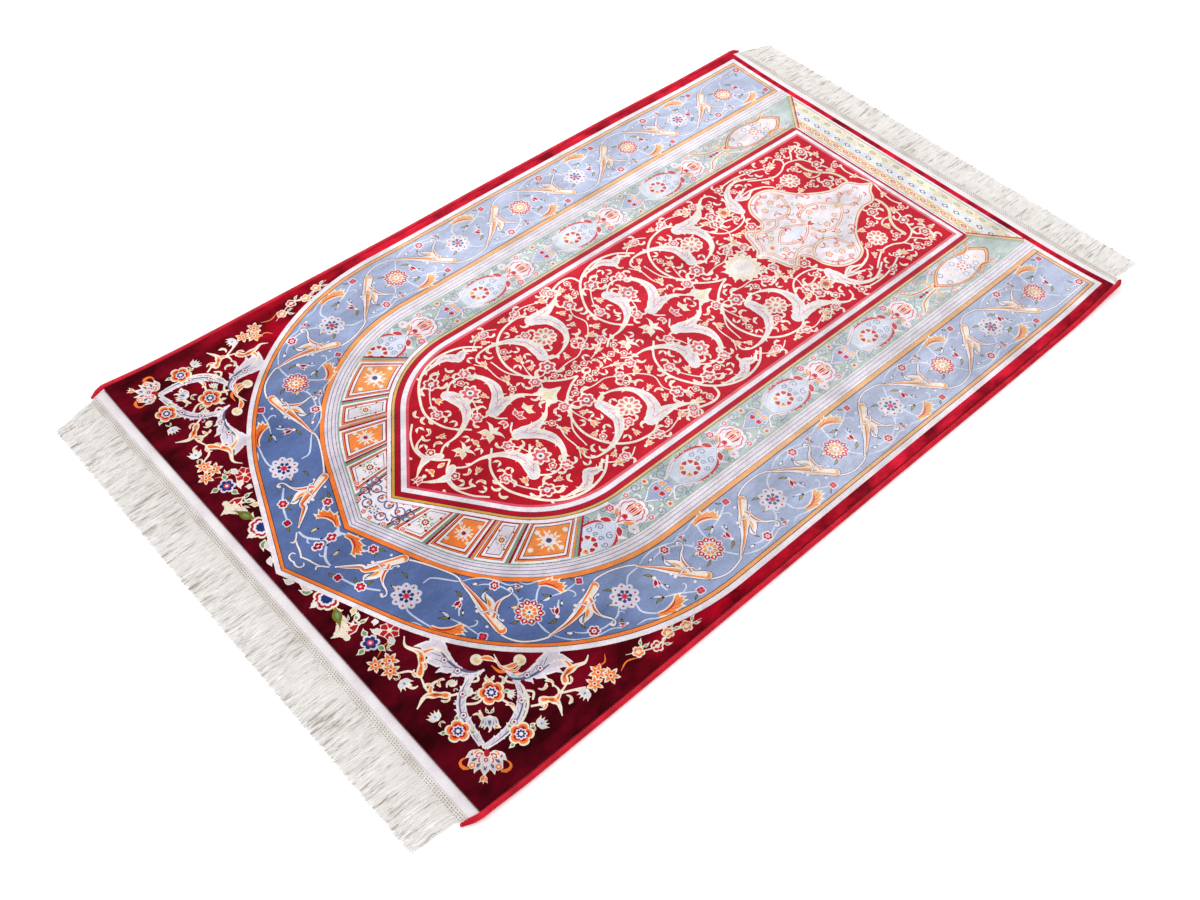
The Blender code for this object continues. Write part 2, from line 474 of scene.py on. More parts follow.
def splitLeaf(path, width, edge="ink", skin="cream", inside="orange", core="brick", spur=0.42, side=1, reach=0.45,
        turn=0.9, hook=-0.26):
    body = widths((0, width * 0.6), (0.05, width * 0.92), (0.12, width * 0.9), (0.24, width * 0.66), (0.4, width),
        (0.64, width * 0.5), (1, width * 0.14))
    total = runOf(path)[-1]
    place, angle = spotOn(path, spur)
    spurPath = bow(place, place + polar(total * reach, angle + math.pi - side * turn), hook * side, 8)
    spurWidth = widths((0, width * 0.62), (0.35, width * 0.5), (0.75, width * 0.22), (1, width * 0.18))
    head = path[0] + (path[1] - path[0]) * 0.4
    for yarn, less in ((edge, -width * 0.06), (skin, width * 0.0)):
        if yarn:
            stroke(spurPath, spurWidth, (yarn, less))
            stroke(path, body, (yarn, less))
            disc(yarn, head, width * 0.86 - 2 * less)
    if inside:
        stroke(part(spurPath, 0.1, 0.72), spurWidth, (inside, width * 0.15))
        stroke(part(path, 0.0, 0.84), body, (inside, width * 0.2))
    if core:
        stroke(part(path, 0.1, 0.74), body, (core, width * 0.4))
    return spurPath


def wingedLeaf(frame, head, *wings, width=13.0, skin="cream", inside="lavender", vein="rose", end=2.4):
    shape = widths((0, width * 0.8), (0.1, width), (0.3, width * 0.8), (0.52, width * 0.42), (0.78, end * 1.1),
        (1, end))
    paths = [trace(frame, 6, *head, *wing) for wing in wings]
    head = frame(*head)
    for yarn, less, stop in ((skin, 0.0, 1.0), (inside, width * 0.12, 0.5)):
        for path in paths:
            stroke(part(path, 0.0, stop), (lambda t, stop=stop: shape(t * stop)), (yarn, less))
        disc(yarn, head, width * 0.98 - 2 * less)
    for path in paths:
        for side, share, size in ((1, 0.16, 0.9), (-1, 0.36, 0.75), (1, 0.56, 0.55), (-1, 0.8, 0.5)):
            place, angle = spotOn(path, share)
            ray(place, width * size, angle + side * 0.75, width * 0.32, side * -0.2, skin, count=5)
        stroke(part(path, 0.04, 0.44), taper(0.8), vein)
        for k in range(1, 9):
            place, angle = spotOn(path, 0.05 * k)
            stroke([place, place + polar(width * (0.34 - 0.02 * k), angle + 0.7 * (1 if k % 2 else -1))], 0.7,
                "celadon" if k % 3 else vein)


def swash(place, angle, size, side, skin="cream", inside="straw"):
    path = [place + polar(size * t, angle + side * (1.1 * t * t - 0.2)) for t in (i / 6 for i in range(7))]
    shape = widths((0, size * 0.14), (0.4, size * 0.28), (0.8, size * 0.42), (1, size * 0.14))
    stroke(path, shape, skin, (inside, size * 0.09))


def spray(place, radius, angle, petal, heart="white", dot="navy", petals=6, leaves=3):
    for k in range(leaves):
        turn = angle + math.tau * (k + 0.5) / leaves
        swash(place + polar(radius * 0.7, turn), turn, radius * 1.3, 1 if k % 2 else -1)
    blossom(place, radius, angle, "cream", petal, heart, dot, petals)


def banded(path, width, edge="brick", inside="straw", line=0.8):
    stroke(path, width, edge, (inside, line))


def within(outline, p):
    inside = False
    for a, b in zip(outline, outline[-1:] + outline[:-1]):
        if (a.imag > p.imag) != (b.imag > p.imag):
            if p.real < a.real + (b.real - a.real) * (p.imag - a.imag) / (b.imag - a.imag):
                inside = not inside
    return inside


def fillGaps(area, first, clear, pitch, filler):
    cells, boxes = {}, []

    def note(outline):
        xs, ys = [p.real for p in outline], [p.imag for p in outline]
        boxes.append((min(xs), max(xs), min(ys), max(ys), outline))
        for p in outline:
            cells.setdefault((p.real // clear, p.imag // clear), []).append(p)

    def isClear(p):
        column, row = p.real // clear, p.imag // clear
        near = (q for i in (-1, 0, 1) for j in (-1, 0, 1) for q in cells.get((column + i, row + j), ()))
        return all(abs(p - q) > clear for q in near) and not any(
            x0 < p.real < x1 and y0 < p.imag < y1 and within(outline, p) for x0, x1, y0, y1, outline in boxes)

    for _, outline, _ in drawn[first:]:
        note(outline)
    low, high = min(p.imag for p in area), max(p.imag for p in area)
    wide = max(p.real for p in area)
    for row in range(int((high - low) / pitch)):
        for column in range(int(wide / pitch)):
            jitter = math.sin(row * 12.9 + column * 78.2) * 437.5
            jitter -= math.floor(jitter)
            p = complex((column + jitter) * pitch, low + (row + 0.3 + 0.4 * jitter) * pitch)
            if within(area, p) and isClear(p):
                count = len(drawn)
                filler(p, jitter)
                for _, outline, _ in drawn[count:]:
                    note(outline)
# ---- the rug's layout, in millimetres from its middle line or from the near end of the pile
layout = {
    "half": 343.0, "long": 1058.0, "marginIn": 331.4, "orangeOut": 325.0, "blueOut": 319.2, "blueIn": 238.0,
    "orangeIn": 231.2, "stripes": 213.6, "bandIn": 160.6, "goldIn": 156.8, "crimsonIn": 149.8, "whiteIn": 143.6,
    "fieldOut": 140.2, "farWhite": 1048.4, "farOrange": 1041.8, "farBlue": 1035.8, "farMitre": 998.0,
    "farField": 983.0, "archCentre": 349.0, "archDrift": 0.1606, "archTurn": 1.185, "fieldCentre": 13.2,
    "fieldRise": 347.6, "fieldTurn": 0.934,
}


def archLine(offset, far, count=26):
    if offset > 200:
        side, turn, radius = 0.0, layout["archTurn"], offset
        rise = layout["archCentre"] + layout["archDrift"] * (offset - 238)
    else:
        side, rise, turn = layout["fieldCentre"], layout["fieldRise"], layout["fieldTurn"]
        radius = offset - side
    bend = [complex(side + radius * math.cos(a), rise - radius * math.sin(a))
        for a in (turn * (1 - k / count) for k in range(count + 1))]
    tip = complex(0, bend[0].imag - bend[0].real / math.tan(turn))
    return [tip] + bend + ([complex(offset, far)] if far > rise else [])


def archArea(offset, far):
    line = archLine(offset, far)
    return line + [complex(-9, far), complex(-9, line[0].imag)]


# from the outside in: yarn, offset of its edge and how much wider, far end and how much further, zone that it opens
grounds = (
    ("white", "marginIn", 0, "farWhite", 0, None), ("ink", "orangeOut", 0, "farOrange", 0, None),
    ("orange", "orangeOut", -0.9, "farOrange", -0.9, None), ("ink", "blueOut", 0.8, "farBlue", 0.8, None),
    ("blue", "blueOut", 0, "farBlue", 0, "blue"), ("ink", "blueIn", 0.4, "farOrange", 0, None),
    ("orange", "blueIn", -0.6, "farOrange", -0.9, None), ("ink", "orangeIn", 0.5, "farOrange", 0, None),
    ("lavender", "orangeIn", 0, "farWhite", -1.5, None), ("slate", "stripe", 13.8, 0.8),
    ("slate", "stripe", 8.4, 0.8), ("slate", "stripe", 3.6, 0.7), ("sage", "stripes", 0.6, "farMitre", 48, None),
    ("celadon", "stripes", -0.4, "farMitre", 47, "celadon"), ("ink", "bandIn", 0, "farField", 16, None),
    ("gold", "bandIn", -0.8, "farField", 15.4, None), ("ink", "goldIn", 0, "farField", 13, None),
    ("crimson", "goldIn", -0.8, "farField", 12.4, None), ("ink", "crimsonIn", 0.6, "farField", 9.6, None),
    ("white", "crimsonIn", 0, "farField", 9, None), ("rose", "whiteIn", 0, "farField", 3.4, None),
    ("field", "fieldOut", 0, "farField", 0, "field"),
)


def groundwork():
    lay("ground", [0j - 9, complex(343.5, 0), complex(343.5, layout["long"]), complex(-9, layout["long"])])
    spandrelMotifs()
    for yarn, edge, wider, *rest in grounds:
        if edge == "stripe":
            stroke(archLine(layout["stripes"] + wider, layout["farWhite"] - 1.5), rest[0], yarn)
        else:
            far, further, zone = rest
            lay(yarn, archArea(layout[edge] + wider, layout[far] + further), zone)


# ---- the blue border, drawn straight and then bent along the arch: x across from its middle, y back from its far end
blueBorder = {
    "middle": 278.6,
    "crossings": (109, 204, 304, 404, 504, 612, 712, 824, 925, 1052),
    "back": 45.0, "rosette": 15.6, "vine": 2.0,
}


def alongArch(middle, far):
    radius, rise = middle, layout["archCentre"] + layout["archDrift"] * (middle - 238)
    turn = layout["archTurn"]
    straight, round_ = far - rise, radius * turn

    def bend(p):
        s, off = -p.imag, p.real
        if s <= straight:
            return complex(middle + off, far - s)
        if s <= straight + round_:
            a = (s - straight) / radius
            return complex((radius + off) * math.cos(a), rise - (radius + off) * math.sin(a))
        foot = complex((radius + off) * math.cos(turn), rise - (radius + off) * math.sin(turn))
        return foot + (s - straight - round_) * complex(-math.sin(turn), -math.cos(turn))
    return bend


def borderLeaf(c, side, tail):
    body = through([c(-24, -21), c(-17, -14), c(-8, -5), c(1, 3), c(8, 10)] + tail, 4)
    spur = trace(c, 4, -12, -8, -5, -10, 3, -10, 10, -12, 16, -17, 20, -23, 25, -26, 29, -23, 26, -20)
    bodyWidth = widths((0, 8.0), (0.06, 10.6), (0.26, 9.0), (0.42, 12.4), (0.56, 8.2), (0.78, 5.0), (1, 2.0))
    spurWidth = widths((0, 5.8), (0.36, 5.4), (0.55, 2.6), (0.8, 1.7), (1, 2.6))
    for yarn, less in (("ink", -0.6), ("white", 0.0)):
        stroke(spur, spurWidth, (yarn, less))
        leaf(c(-5, -8), c(20, 5), 8.6, side * 0.1, (yarn, less), belly=0.45)
        leaf(c(10, 2), c(22, 3), 3.4, side * -0.3, (yarn, less))
        stroke(body, bodyWidth, (yarn, less))
        disc(yarn, body[1], 10.4 - 2 * less)
    disc("orange", body[1], 8.2, count=9)
    stroke(beside(part(body, 0.0, 0.4), lambda t: side * -1.3), widths((0, 6.2), (0.5, 3.6), (1, 2.2)), "orange")
    disc("cream", body[2] + c(0.9, -0.7) - c(0, 0), 5.8, count=9)
    stroke(beside(part(body, 0.04, 0.36), lambda t: side * 1.0), widths((0, 4.6), (1, 3.4)), "cream")
    leaf(c(-2, -5), c(17, 4.5), 4.6, side * 0.1, "straw", ("orange", 0.9))
    stroke(beside(part(body, 0.3, 0.97), lambda t: side * (1.5 - 1.1 * t)),
        widths((0, 2.0), (0.2, 5.0), (0.5, 3.0), (1, 0.9)), "orange")
    stroke(beside(part(body, 0.32, 0.9), lambda t: side * (0.2 - 0.3 * t)), taper(0.9), "brick")
    stroke(part(spur, 0.06, 0.5), widths((0, 2.6), (0.7, 2.4), (1, 0.8)), "orange")
    stroke(part(spur, 0.1, 0.46), taper(0.7), "brick")
    for wide, *flat in ((1.7, -6, -15, -2, -10, -1, -4, -4, 2, -4, 8), (1.4, -4, 5, 0, 8, 1, 11),
            (1.3, -12, -19, -9, -15, -6, -14)):
        stroke(trace(c, 4, *flat), taper(wide, 0.9, 0.8), ("ink", -0.35), "white")
    for x, y, size in ((-3.5, 8, 4.0), (1.5, 10, 3.0), (-20, -5, 3.2), (-11, -19, 3.0), (27, -21.5, 3.6)):
        disc("white", c(x, y), size, count=7)


def borderBay(c, side, reach, warm):
    def aim(angle):
        return -angle if side > 0 else math.pi + angle

    bloom = reach - blueBorder["back"]
    # pale vines between the rosettes, the flowers and the big leaves
    for wide, *flat in ((1.8, 9, -35, 20, -29, 27, -18, 30, -8, 30, 6, 27, 16),
            (1.7, 34, -30, 32, -20, 36, -6, 37, 10, 34, 23, 29, 33), (1.7, -31, 0, -26, 9, -21, 20, -18, 32),
            (1.5, -24, 13, -20, 6, -15, 5, -15, 8), (2.0, -11, bloom - 7, -24, bloom - 9, -34, 42),
            (1.9, 12, bloom - 8, 22, bloom - 15, 27, 36), (1.8, -13, 24, -6, 26, 0, 27),
            (1.3, 20, -30, 15, -34, 18, -38), (1.5, -37, 30, -38, 44, -34, 58, -36, 68)):
        stroke(trace(c, 4, *flat), taper(wide, 0.7, 0.5), "haze")
    acanthus(trace(c, 4, -34, 46, -35, 36, -31, 26, -22, 19), 19.0, 6, side, "cream", "orange", "red")
    for x, y, tipX, tipY, wide, yarn in ((-19, 31, -13, 45, 4.4, "haze"), (-19, 31, -22, 43, 4.0, "olive"),
            (8, 28, 15, 38, 4.2, "olive"), (25, 3, 17, 5, 3.6, "olive"), (28, 14, 26, 23, 4.6, "white"),
            (-34, 2, -39, 8, 3.0, "olive"), (-8, bloom + 11, -5, bloom + 22, 4.4, "straw"),
            (10, bloom + 10, 14, bloom + 20, 3.6, "olive"), (29, -33, 23, -33, 3.4, "olive"),
            (-12, 21, -4, 24, 3.4, "white")):
        leaf(c(x, y), c(tipX, tipY), wide, side * 0.12, "ink", (yarn, 0.5), count=5)
    blossom(c(30, -4), 6.8, 0.3, "white", "red", "white", "brick", 6)
    blossom(c(-32, -3), 5.6, 0.7, "haze", "red", "rose", None, 4)
    bud(c(31, -36), aim(1.6), 8.5, "white", "red", "brick")
    bud(c(7, 28), aim(3.0), 12.5, "white", "crimson", "rose")
    size = blueBorder["rosette"]
    place = c(-9 if reach > 120 else 0, bloom)
    if warm:
        doubleRosette(place, size, 0.2, "haze", "red", "cream", "orange", "cream", "blue", 10)
    else:
        doubleRosette(place, size, 0.2, "haze", "lavender", "lavender", "navy", "rose", "red", 9)
        for j in range(9):
            disc("red", place + polar(size * 0.78, 0.2 + j * math.tau / 9), 2.6, count=6)


def borderTip(c):
    vine = blueBorder["vine"]
    for flat in ((14, 1097, 17, 1109, 16, 1122, 17, 1132, 22, 1135, 27, 1131, 28, 1125, 24, 1122, 21, 1124),
            (16, 1104, 19, 1109, 23, 1108), (20, 1134, 24, 1138, 20, 1143, 15, 1142),
            (18, 1133, 10, 1135, 3, 1142, 0, 1148)):
        stroke(trace(c, 5, *flat), taper(vine, 0.9, 0.8), ("ink", -0.4), "white")
    for wide, *flat in ((2.8, 12, 1097, 7, 1106, -2, 1112, -12, 1116), (2.4, 15, 1034, 19, 1048, 21, 1062, 20, 1082),
            (2.2, -24, 1068, -20, 1076, -21, 1086), (3.0, -29, 1100, -28, 1109, -22, 1116),
            (1.6, 4, 1108, 6, 1113, 4, 1116)):
        stroke(trace(c, 5, *flat), taper(wide, 0.8, 0.6), "haze")
    disc("haze", c(-27, 1110), 6, 5, 8)
    acanthus(trace(c, 4, -29, 1104, -28, 1094, -21, 1086, -10, 1084), 18.0, 6, 1, "cream", "orange", "red")
    for x, y, tipX, tipY, yarn in ((17, 1050, 8, 1046, "olive"), (18, 1060, 12, 1066, "olive"),
            (21, 1086, 20, 1094, "olive"), (-27, 1064, -29, 1054, "olive"), (-24, 1064, -18, 1062, "olive"),
            (-10, 1100, 2, 1104, "straw")):
        leaf(c(x, y), c(tipX, tipY), 4.2, 0.15, "ink", (yarn, 0.5), count=5)
    blossom(c(20, 1055), 6.6, 0.2, "white", "red", "rose", "white", 6)
    blossom(c(-26, 1068), 6.4, 0.5, "white", "red", "rose", "white", 6)
    blossom(c(21, 1082), 5.6, 0.4, "haze", "crimson", "red", None, 4)
    for place, petal in ((c(-20, 1117), "red"), (c(-4, 1124), "crimson")):
        blossom(place, 8.2, 0.2, "white", petal, "white", "orange", 6)
    for x, y in ((-9, 1114), (-14, 1126)):
        disc("navy", c(x, y), 3.6, 2.6, 7)


def blueBorderMotifs():
    b = blueBorder
    pen["zone"], pen["bend"] = "blue", alongArch(b["middle"], layout["farBlue"])
    leaves = []
    for k, s in enumerate(b["crossings"]):
        side = 1 if k % 2 else -1                      # the side that the leaf's tail swings out to
        reach = (b["crossings"] + (s + 100,))[k + 1] - s
        c = lambda x, y, side=side, s=s: complex(side * x, -(s + y))
        last = s == b["crossings"][-1]
        leaves.append((c, side, reach, last))
        if k == 0:
            borderBay(lambda x, y: complex(x, -(s - 100 + y)), 1, s - 100 + 91, True)
        if not last:
            borderBay(c, side, reach, k % 2)
    for c, side, reach, last in leaves:
        if not last:
            stroke(trace(c, 6, 26, 31, 31, 40, 34, 52, 34.5, reach / 2 + 14, 31, reach - 25, 25, reach - 16, 15,
                reach - 6), b["vine"], ("ink", -0.45), "white")
        if side < 0 and c is leaves[0][0]:
            stroke(trace(c, 6, -36, -108, -35, -70, -34, -45, -31, -32, -24, -20, -15, -10), b["vine"],
                ("ink", -0.45), "white")
    for c, side, reach, last in leaves:
        if last:                                       # squeezed towards the field, next to the arch's tip
            borderLeaf(lambda x, y: c(x - 8, y), side, [c(-1, 16), c(5, 28), c(11, 40)])
        else:
            borderLeaf(c, side, [c(16, 19), c(23, 29), c(29, 38)])
    borderTip(lambda x, y: complex(x, -y))
    pen["zone"] = pen["bend"] = None


# ---- the green band beside the field
greenBand = {"middle": 187.2, "period": 158.0, "top": 812.0, "near": 330, "far": 1000}


def bandPalmette(at):
    for yarn, size in (("slate", 20.4), ("white", 19.4), ("rose", 15.6), ("white", 14.0)):
        ring(yarn, at + 1j, math.pi / 2, size, 9, 0.14, 0.12)
    leaf(at - 6j, at - 26j, 17.0, 0.0, "white", belly=0.2)
    for k in range(6):
        x = 3.0 * k - 7.5
        stroke([at + complex(x * 0.7, -2), at + complex(x * 0.95, 5), at + complex(x * 0.8, 13)], taper(2.4),
            ("red", "orange", "crimson")[k % 3])
    for turn in (0.9, -0.9, 0.0):
        ray(at + 10j, 8.5, math.pi / 2 + turn, 5.0, turn * 0.1, "cream", ("orange" if turn else "rose", 0.7), count=5)
    for side in (1, -1):
        m = placed(at, side)
        leaf(m(1, -15), m(15, -1), 7.0, side * -0.2, "white", ("orange", 0.9))
        leaf(m(3, -13), m(11, -5), 2.0, 0.0, "red", count=4)
        blossom(m(19, -13), 6.4, 0.4, "white", "rose" if side < 0 else "lavender", "lavender", "crimson", 6)
        blossom(m(20, 12), 4.4, 0.4, "white", "rose", "cream", None)
        curlet(m(13, 17), math.pi / 2 - side * 0.6, 8.5, side, "white")
    leaf(at - 22j, at - 4j, 8.0, 0.0, "rose", ("cream", 1.8), belly=0.6)
    disc("red", at - 8.5j, 7.5, 6.5, 8)
    disc("crimson", at - 8.5j, 3, 2.6, 6)


def bandWreath(oval):
    arms = {side: trace(placed(oval, side), 4, 0.6, 44, 7, 39, 14, 32, 18.5, 24, 21, 12, 20.5, 0, 17.5, -10, 12.5,
        -19, 8.5, -28, 9.5, -35, 14.5, -39, 19.5, -43, 22, -40) for side in (1, -1)}
    lay("haze", part(arms[1], 0.0, 0.75) + part(arms[-1], 0.0, 0.75)[::-1])
    # a pointed bay under the wreath, between two thin white lines
    bay = trace(placed(oval), 4, 6, -30, 12, -44, 11, -54, 4, -64, 0, -72)
    lay("blue", bay + [complex(2 * oval.real - p.real, p.imag) for p in bay[::-1]])
    for side in (1, -1):
        m = placed(oval, side)
        stroke([complex(oval.real + side * (p.real - oval.real), p.imag) for p in bay], 1.6, ("slate", -0.4), "white")
        arm = arms[side]
        stroke(arm, widths((0, 2.0), (0.15, 4.6), (0.45, 4.2), (0.6, 2.4), (0.9, 1.8), (1, 2.6)), ("slate", -0.4),
            "white")
        for k in range(5):
            place, angle = spotOn(arm, 0.2 + 0.07 * k)
            ray(place, 5.5, angle + side * 0.7, 3.2, 0.0, "white", ("crimson" if k % 2 else "red", 0.5), count=4)
        stroke(part(arm, 0.14, 0.56), widths((0, 3.4), (0.7, 2.6), (1, 0.8)), "red")
        leaf(m(2.5, 42), m(18, 29), 8.6, side * 0.12, "white", ("red", 0.9))
        leaf(m(17, 31), m(24, 38), 4.0, side * 0.2, "white", count=5)
        # fine grey scrolls fill the space outside
        for x, y, size, turn in ((15, -30, 7.5, 0.4), (17, -52, 7.0, 2.2), (24, -24, 5.5, 3.6), (21, -66, 6.5, 5.0),
                (24, 22, 4.5, 1.0), (23, 45, 5.0, 2.8), (9, 48, 4.0, 4.4)):
            stroke(coil(m(x, y), turn * side, side * 1.3, size, size * 0.25, 16), 1.2, "slate")
        for x, y, turn in ((20, -36, 0.6), (13, -58, 2.4), (25, -2, 1.4), (24, 12, 4.4)):
            sprig(m(x, y), turn if side > 0 else math.pi - turn, 6.0, "sage")
        blossom(m(20.5, -52), 4.2, 0.4, "white", "orange", "red", None)
        for x, y, size, turn in ((8, 27, 5.0, 2.0), (13, 15, 4.0, 4.0), (4, 17, 3.4, 0.5)):
            stroke(coil(m(x, y), turn * side, side * 1.2, size, size * 0.25, 14), 1.1, "slate")
    # the orange and red flower between two wreaths
    for k in range(4):
        turn = math.pi / 4 + k * math.pi / 2
        leaf(oval - 44j + polar(1.5, turn), oval - 44j + polar(11.5, turn), 9.5, 0.0, "white",
            (("orange", "red")[k // 2], 0.9), belly=0.62)
        leaf(oval - 44j + polar(5, turn), oval - 44j + polar(9.5, turn), 2.2, 0.0, ("straw", "crimson")[k // 2],
            count=4)
    for k in range(8):
        a = math.pi / 4 * k + math.pi / 2
        turn = complex(math.cos(a), 1.12 * math.sin(a))
        leaf(oval + 4.4 * turn, oval + 13.0 * turn, 8.6, 0.0, "cream", ("orange" if k in (3, 5) else "red", 0.7),
            belly=0.66, count=5)
        leaf(oval + 6.2 * turn, oval + 9.6 * turn, 1.8, 0.0, "brick" if k % 2 else "crimson", count=4)


def greenBandMotifs():
    g = greenBand
    pen["zone"] = "celadon"
    centre = g["middle"]
    for side in (1, -1):
        for phase, size, yarn, wide in ((0.0, 15.0, "sage", 1.2), (0.33, 22.0, "slate", 0.9),
                (0.66, 22.0, "lavender", 2.4)):
            stroke([complex(centre + side * size * math.sin(math.tau * ((y - g["top"]) / g["period"] + phase)), y)
                for y in range(g["near"], g["far"], 6)], wide, yarn)
    for y in range(840, 1000, 14):
        for side in (1, -1):
            stroke(coil(complex(centre + side * 21, y), y, side * 1.3, 6.0, 1.5, 14), 0.9, "slate" if y % 4 else "rose")
    for k in range(-1, 4):
        y = g["top"] - g["period"] * k
        if k >= 0:
            bandPalmette(complex(centre, y))
            bandWreath(complex(centre, y - 65))
    # the far end of the band: a bell flower under a long cartouche
    at = complex(centre, 852)
    for side in (1, -1):
        m = placed(at, side)
        bell = trace(m, 4, 3, 34, 4.5, 22, 6, 8, 10, -6, 17, -13, 21, -18)
        stroke(bell, 4.4, "cream", ("orange", 1.0), ("brick", 1.8))
        stroke(trace(m, 4, 2, 30, 8, 26, 15, 24, 18, 30), taper(3.4), "gold")
        for x, y, turn in ((14, 8, 0.3), (19, -2, 1.2), (13, 16, 1.9)):
            ray(m(x, y), 9, turn if side > 0 else math.pi - turn, 5.0, 0.0, "white", ("celadon", 0.8))
    blossom(at + 30j, 5.4, 0.4, "cream", "orange", "red", "crimson", 5)
    for y, yarn in ((12, "crimson"), (0, "crimson"), (6, "navy")):
        leaf(at + 1j * (y - 3), at + 1j * (y + 5), 4.4, 0.0, yarn, count=5)
    at = complex(centre, 937)
    half = trace(placed(at), 4, 0, 58, 9, 50, 18, 33, 20, 6, 22, -8, 19, -28, 10, -45, 0, -56)
    shape = half + [complex(2 * centre - p.real, p.imag) for p in half[::-1]]
    for yarn, size in (("brick", 1.0), ("orange", 0.965), ("brick", 0.9), ("lavender", 0.87)):
        lay(yarn, [at + (p - at) * size for p in shape])
    for side in (1, -1):
        m = placed(at, side)
        stroke(trace(m, 4, 2, 44, 12, 28, 13, 8, 6, -6, 3, -22, 11, -28, 12, -18), taper(2.4), "white")
        stroke(trace(m, 4, 24, 44, 18, 36, 15, 24, 20, 16, 24, 22), taper(5.0), "orange", ("brick", 1.6))
        for x, y, yarn in ((8, 22, "straw"), (12, -4, "haze"), (8, -34, "celadon"), (5, 10, "celadon"),
                (14, 14, "blue")):
            blossom(m(x, y), 4.6, y, "slate", yarn, "white", None)
    for y, size, yarn in ((32, 7.0, "straw"), (4, 9.5, "rose"), (-22, 7.5, "haze")):
        rosette(at + 1j * y, size, 0.3, "white", yarn, "cream", "brick", 8, 0.4, "orange")
    pen["zone"] = None


# ---- the panels that fan out round the head of the field, and the band across the far end
fan = {
    "lean": 0.07,
    # start and end of each panel along the arch, ground, flower petal, heart
    "panels": ((0.185, 0.30, "white", "crimson", "white"), (0.335, 0.47, "orange", "lavender", "crimson"),
               (0.505, 0.60, "lavender", "red", "straw"), (0.64, 0.83, "orange", "white", "navy")),
    "coils": ((0.03, 0.30, 9.0, 0.4), (0.045, 0.72, 9.0, 2.6), (0.085, 0.42, 9.5, 4.4), (0.11, 0.74, 8.0, 0.9),
              (0.135, 0.40, 7.0, 2.4))}


def fanGrid():
    inner = part(archLine(layout["bandIn"], 0, 40), 0, 0.94)
    outer = part(archLine(layout["stripes"] - 1.4, 0, 40), 0, 0.915)

    def at(s, t):
        return spotOn(inner, s)[0] * (1 - t) + spotOn(outer, s)[0] * t
    return at


def fanPanels():
    at = fanGrid()

    def patch(s0, s1, t0, t1, count=5):
        low, high = ([at(min(max(s0 + (s1 - s0) * i / count - fan["lean"] * t, 0), 1), t) for i in range(count + 1)]
            for t in (t0, t1))
        return low + high[::-1]

    pen["zone"] = "celadon"
    lay("white", patch(0.0, 0.87, 0.0, 1.0, 20))
    for s0, s1, ground, petal, heart in fan["panels"]:
        for yarn, in_, up in (("ink", 0.0, 0.05), ("orange", 0.0025, 0.06), ("crimson", 0.007, 0.085),
                ("white", 0.012, 0.11), ("ink", 0.021, 0.16), (ground, 0.0235, 0.175)):
            lay(yarn, patch(s0 + in_, s1 - in_, up, 1 - up))
        middle = (s0 + s1) / 2 - fan["lean"] / 2
        width = abs(at(s1, 0.5) - at(s0, 0.5))
        size = min(width * 0.2, 9.5)
        for j in range(6):
            turn = 0.5 + j * math.tau / 6
            sprig(at(middle, 0.5) + polar(size * 0.9, turn), turn, size * 0.7,
                "sage" if ground != "orange" else "cream")
        blossom(at(middle, 0.5), size, 0.4, "cream", petal, heart, "brick", 8, 0.6)
        for ds, t in ((0.3, 0.3), (-0.3, 0.3), (0.3, 0.7), (-0.3, 0.7)):
            blossom(at(middle + ds * (s1 - s0) + fan["lean"] * (0.5 - t), t), size * 0.36, 0.2, "straw", petal, None,
                None)
    # thin ribs of several colours between the panels
    for s, *yarns in ((0.155, "crimson", "sage"), (0.312, "sage", "crimson"), (0.482, "crimson", "orange"),
            (0.612, "sage", "crimson"), (0.842, "orange", "sage", "crimson")):
        for k, yarn in enumerate(yarns):
            lay("ink", patch(s + 0.011 * k - 0.0015, s + 0.011 * k + 0.0085, 0.0, 1.0))
            lay(yarn, patch(s + 0.011 * k, s + 0.011 * k + 0.007, 0.0, 1.0))
    # blue and brick scrolls at the tip
    for s, t, size, turn in fan["coils"]:
        place = at(s, t)
        stroke(coil(place, turn, 1.15, size, size * 0.3, 20), 1.7, "blue", ("slate", 0.5))
        stroke(coil(place, turn + 2, -0.7, size * 0.7, size * 0.2, 14), 1.3, "brick")
        blossom(place, size * 0.3, turn, "white", "red", "orange", None)
        ray(place + polar(size, turn + 3), 6, turn + 2, 2.6, 0.2, "navy", count=5)
    for s, t in ((0.02, 0.12), (0.07, 0.1), (0.12, 0.12), (0.15, 0.88), (0.02, 0.92), (0.08, 0.95)):
        blossom(at(s, t), 3.8, 0.3, "cream", "rose", "white", "crimson")
    rosette(complex(0, 131), 7.0, 0.3, "white", "blue", "cream", "red", 8, 0.4, "slate")
    # a white edge between two thin lines runs along the field
    inner, middle, outer = (archLine(layout["bandIn"] + off, 0, 40) for off in (0.4, 1.1, 5.0))
    for yarn, line in (("brick", outer), ("white", archLine(layout["bandIn"] + 4.4, 0, 40))):
        lay(yarn, part(inner, 0, 0.93) + part(line, 0, 0.93)[::-1])
    pen["zone"] = None


farBand = {"low": 997.0, "high": 1046.0, "tiles": 9, "rows": 3}


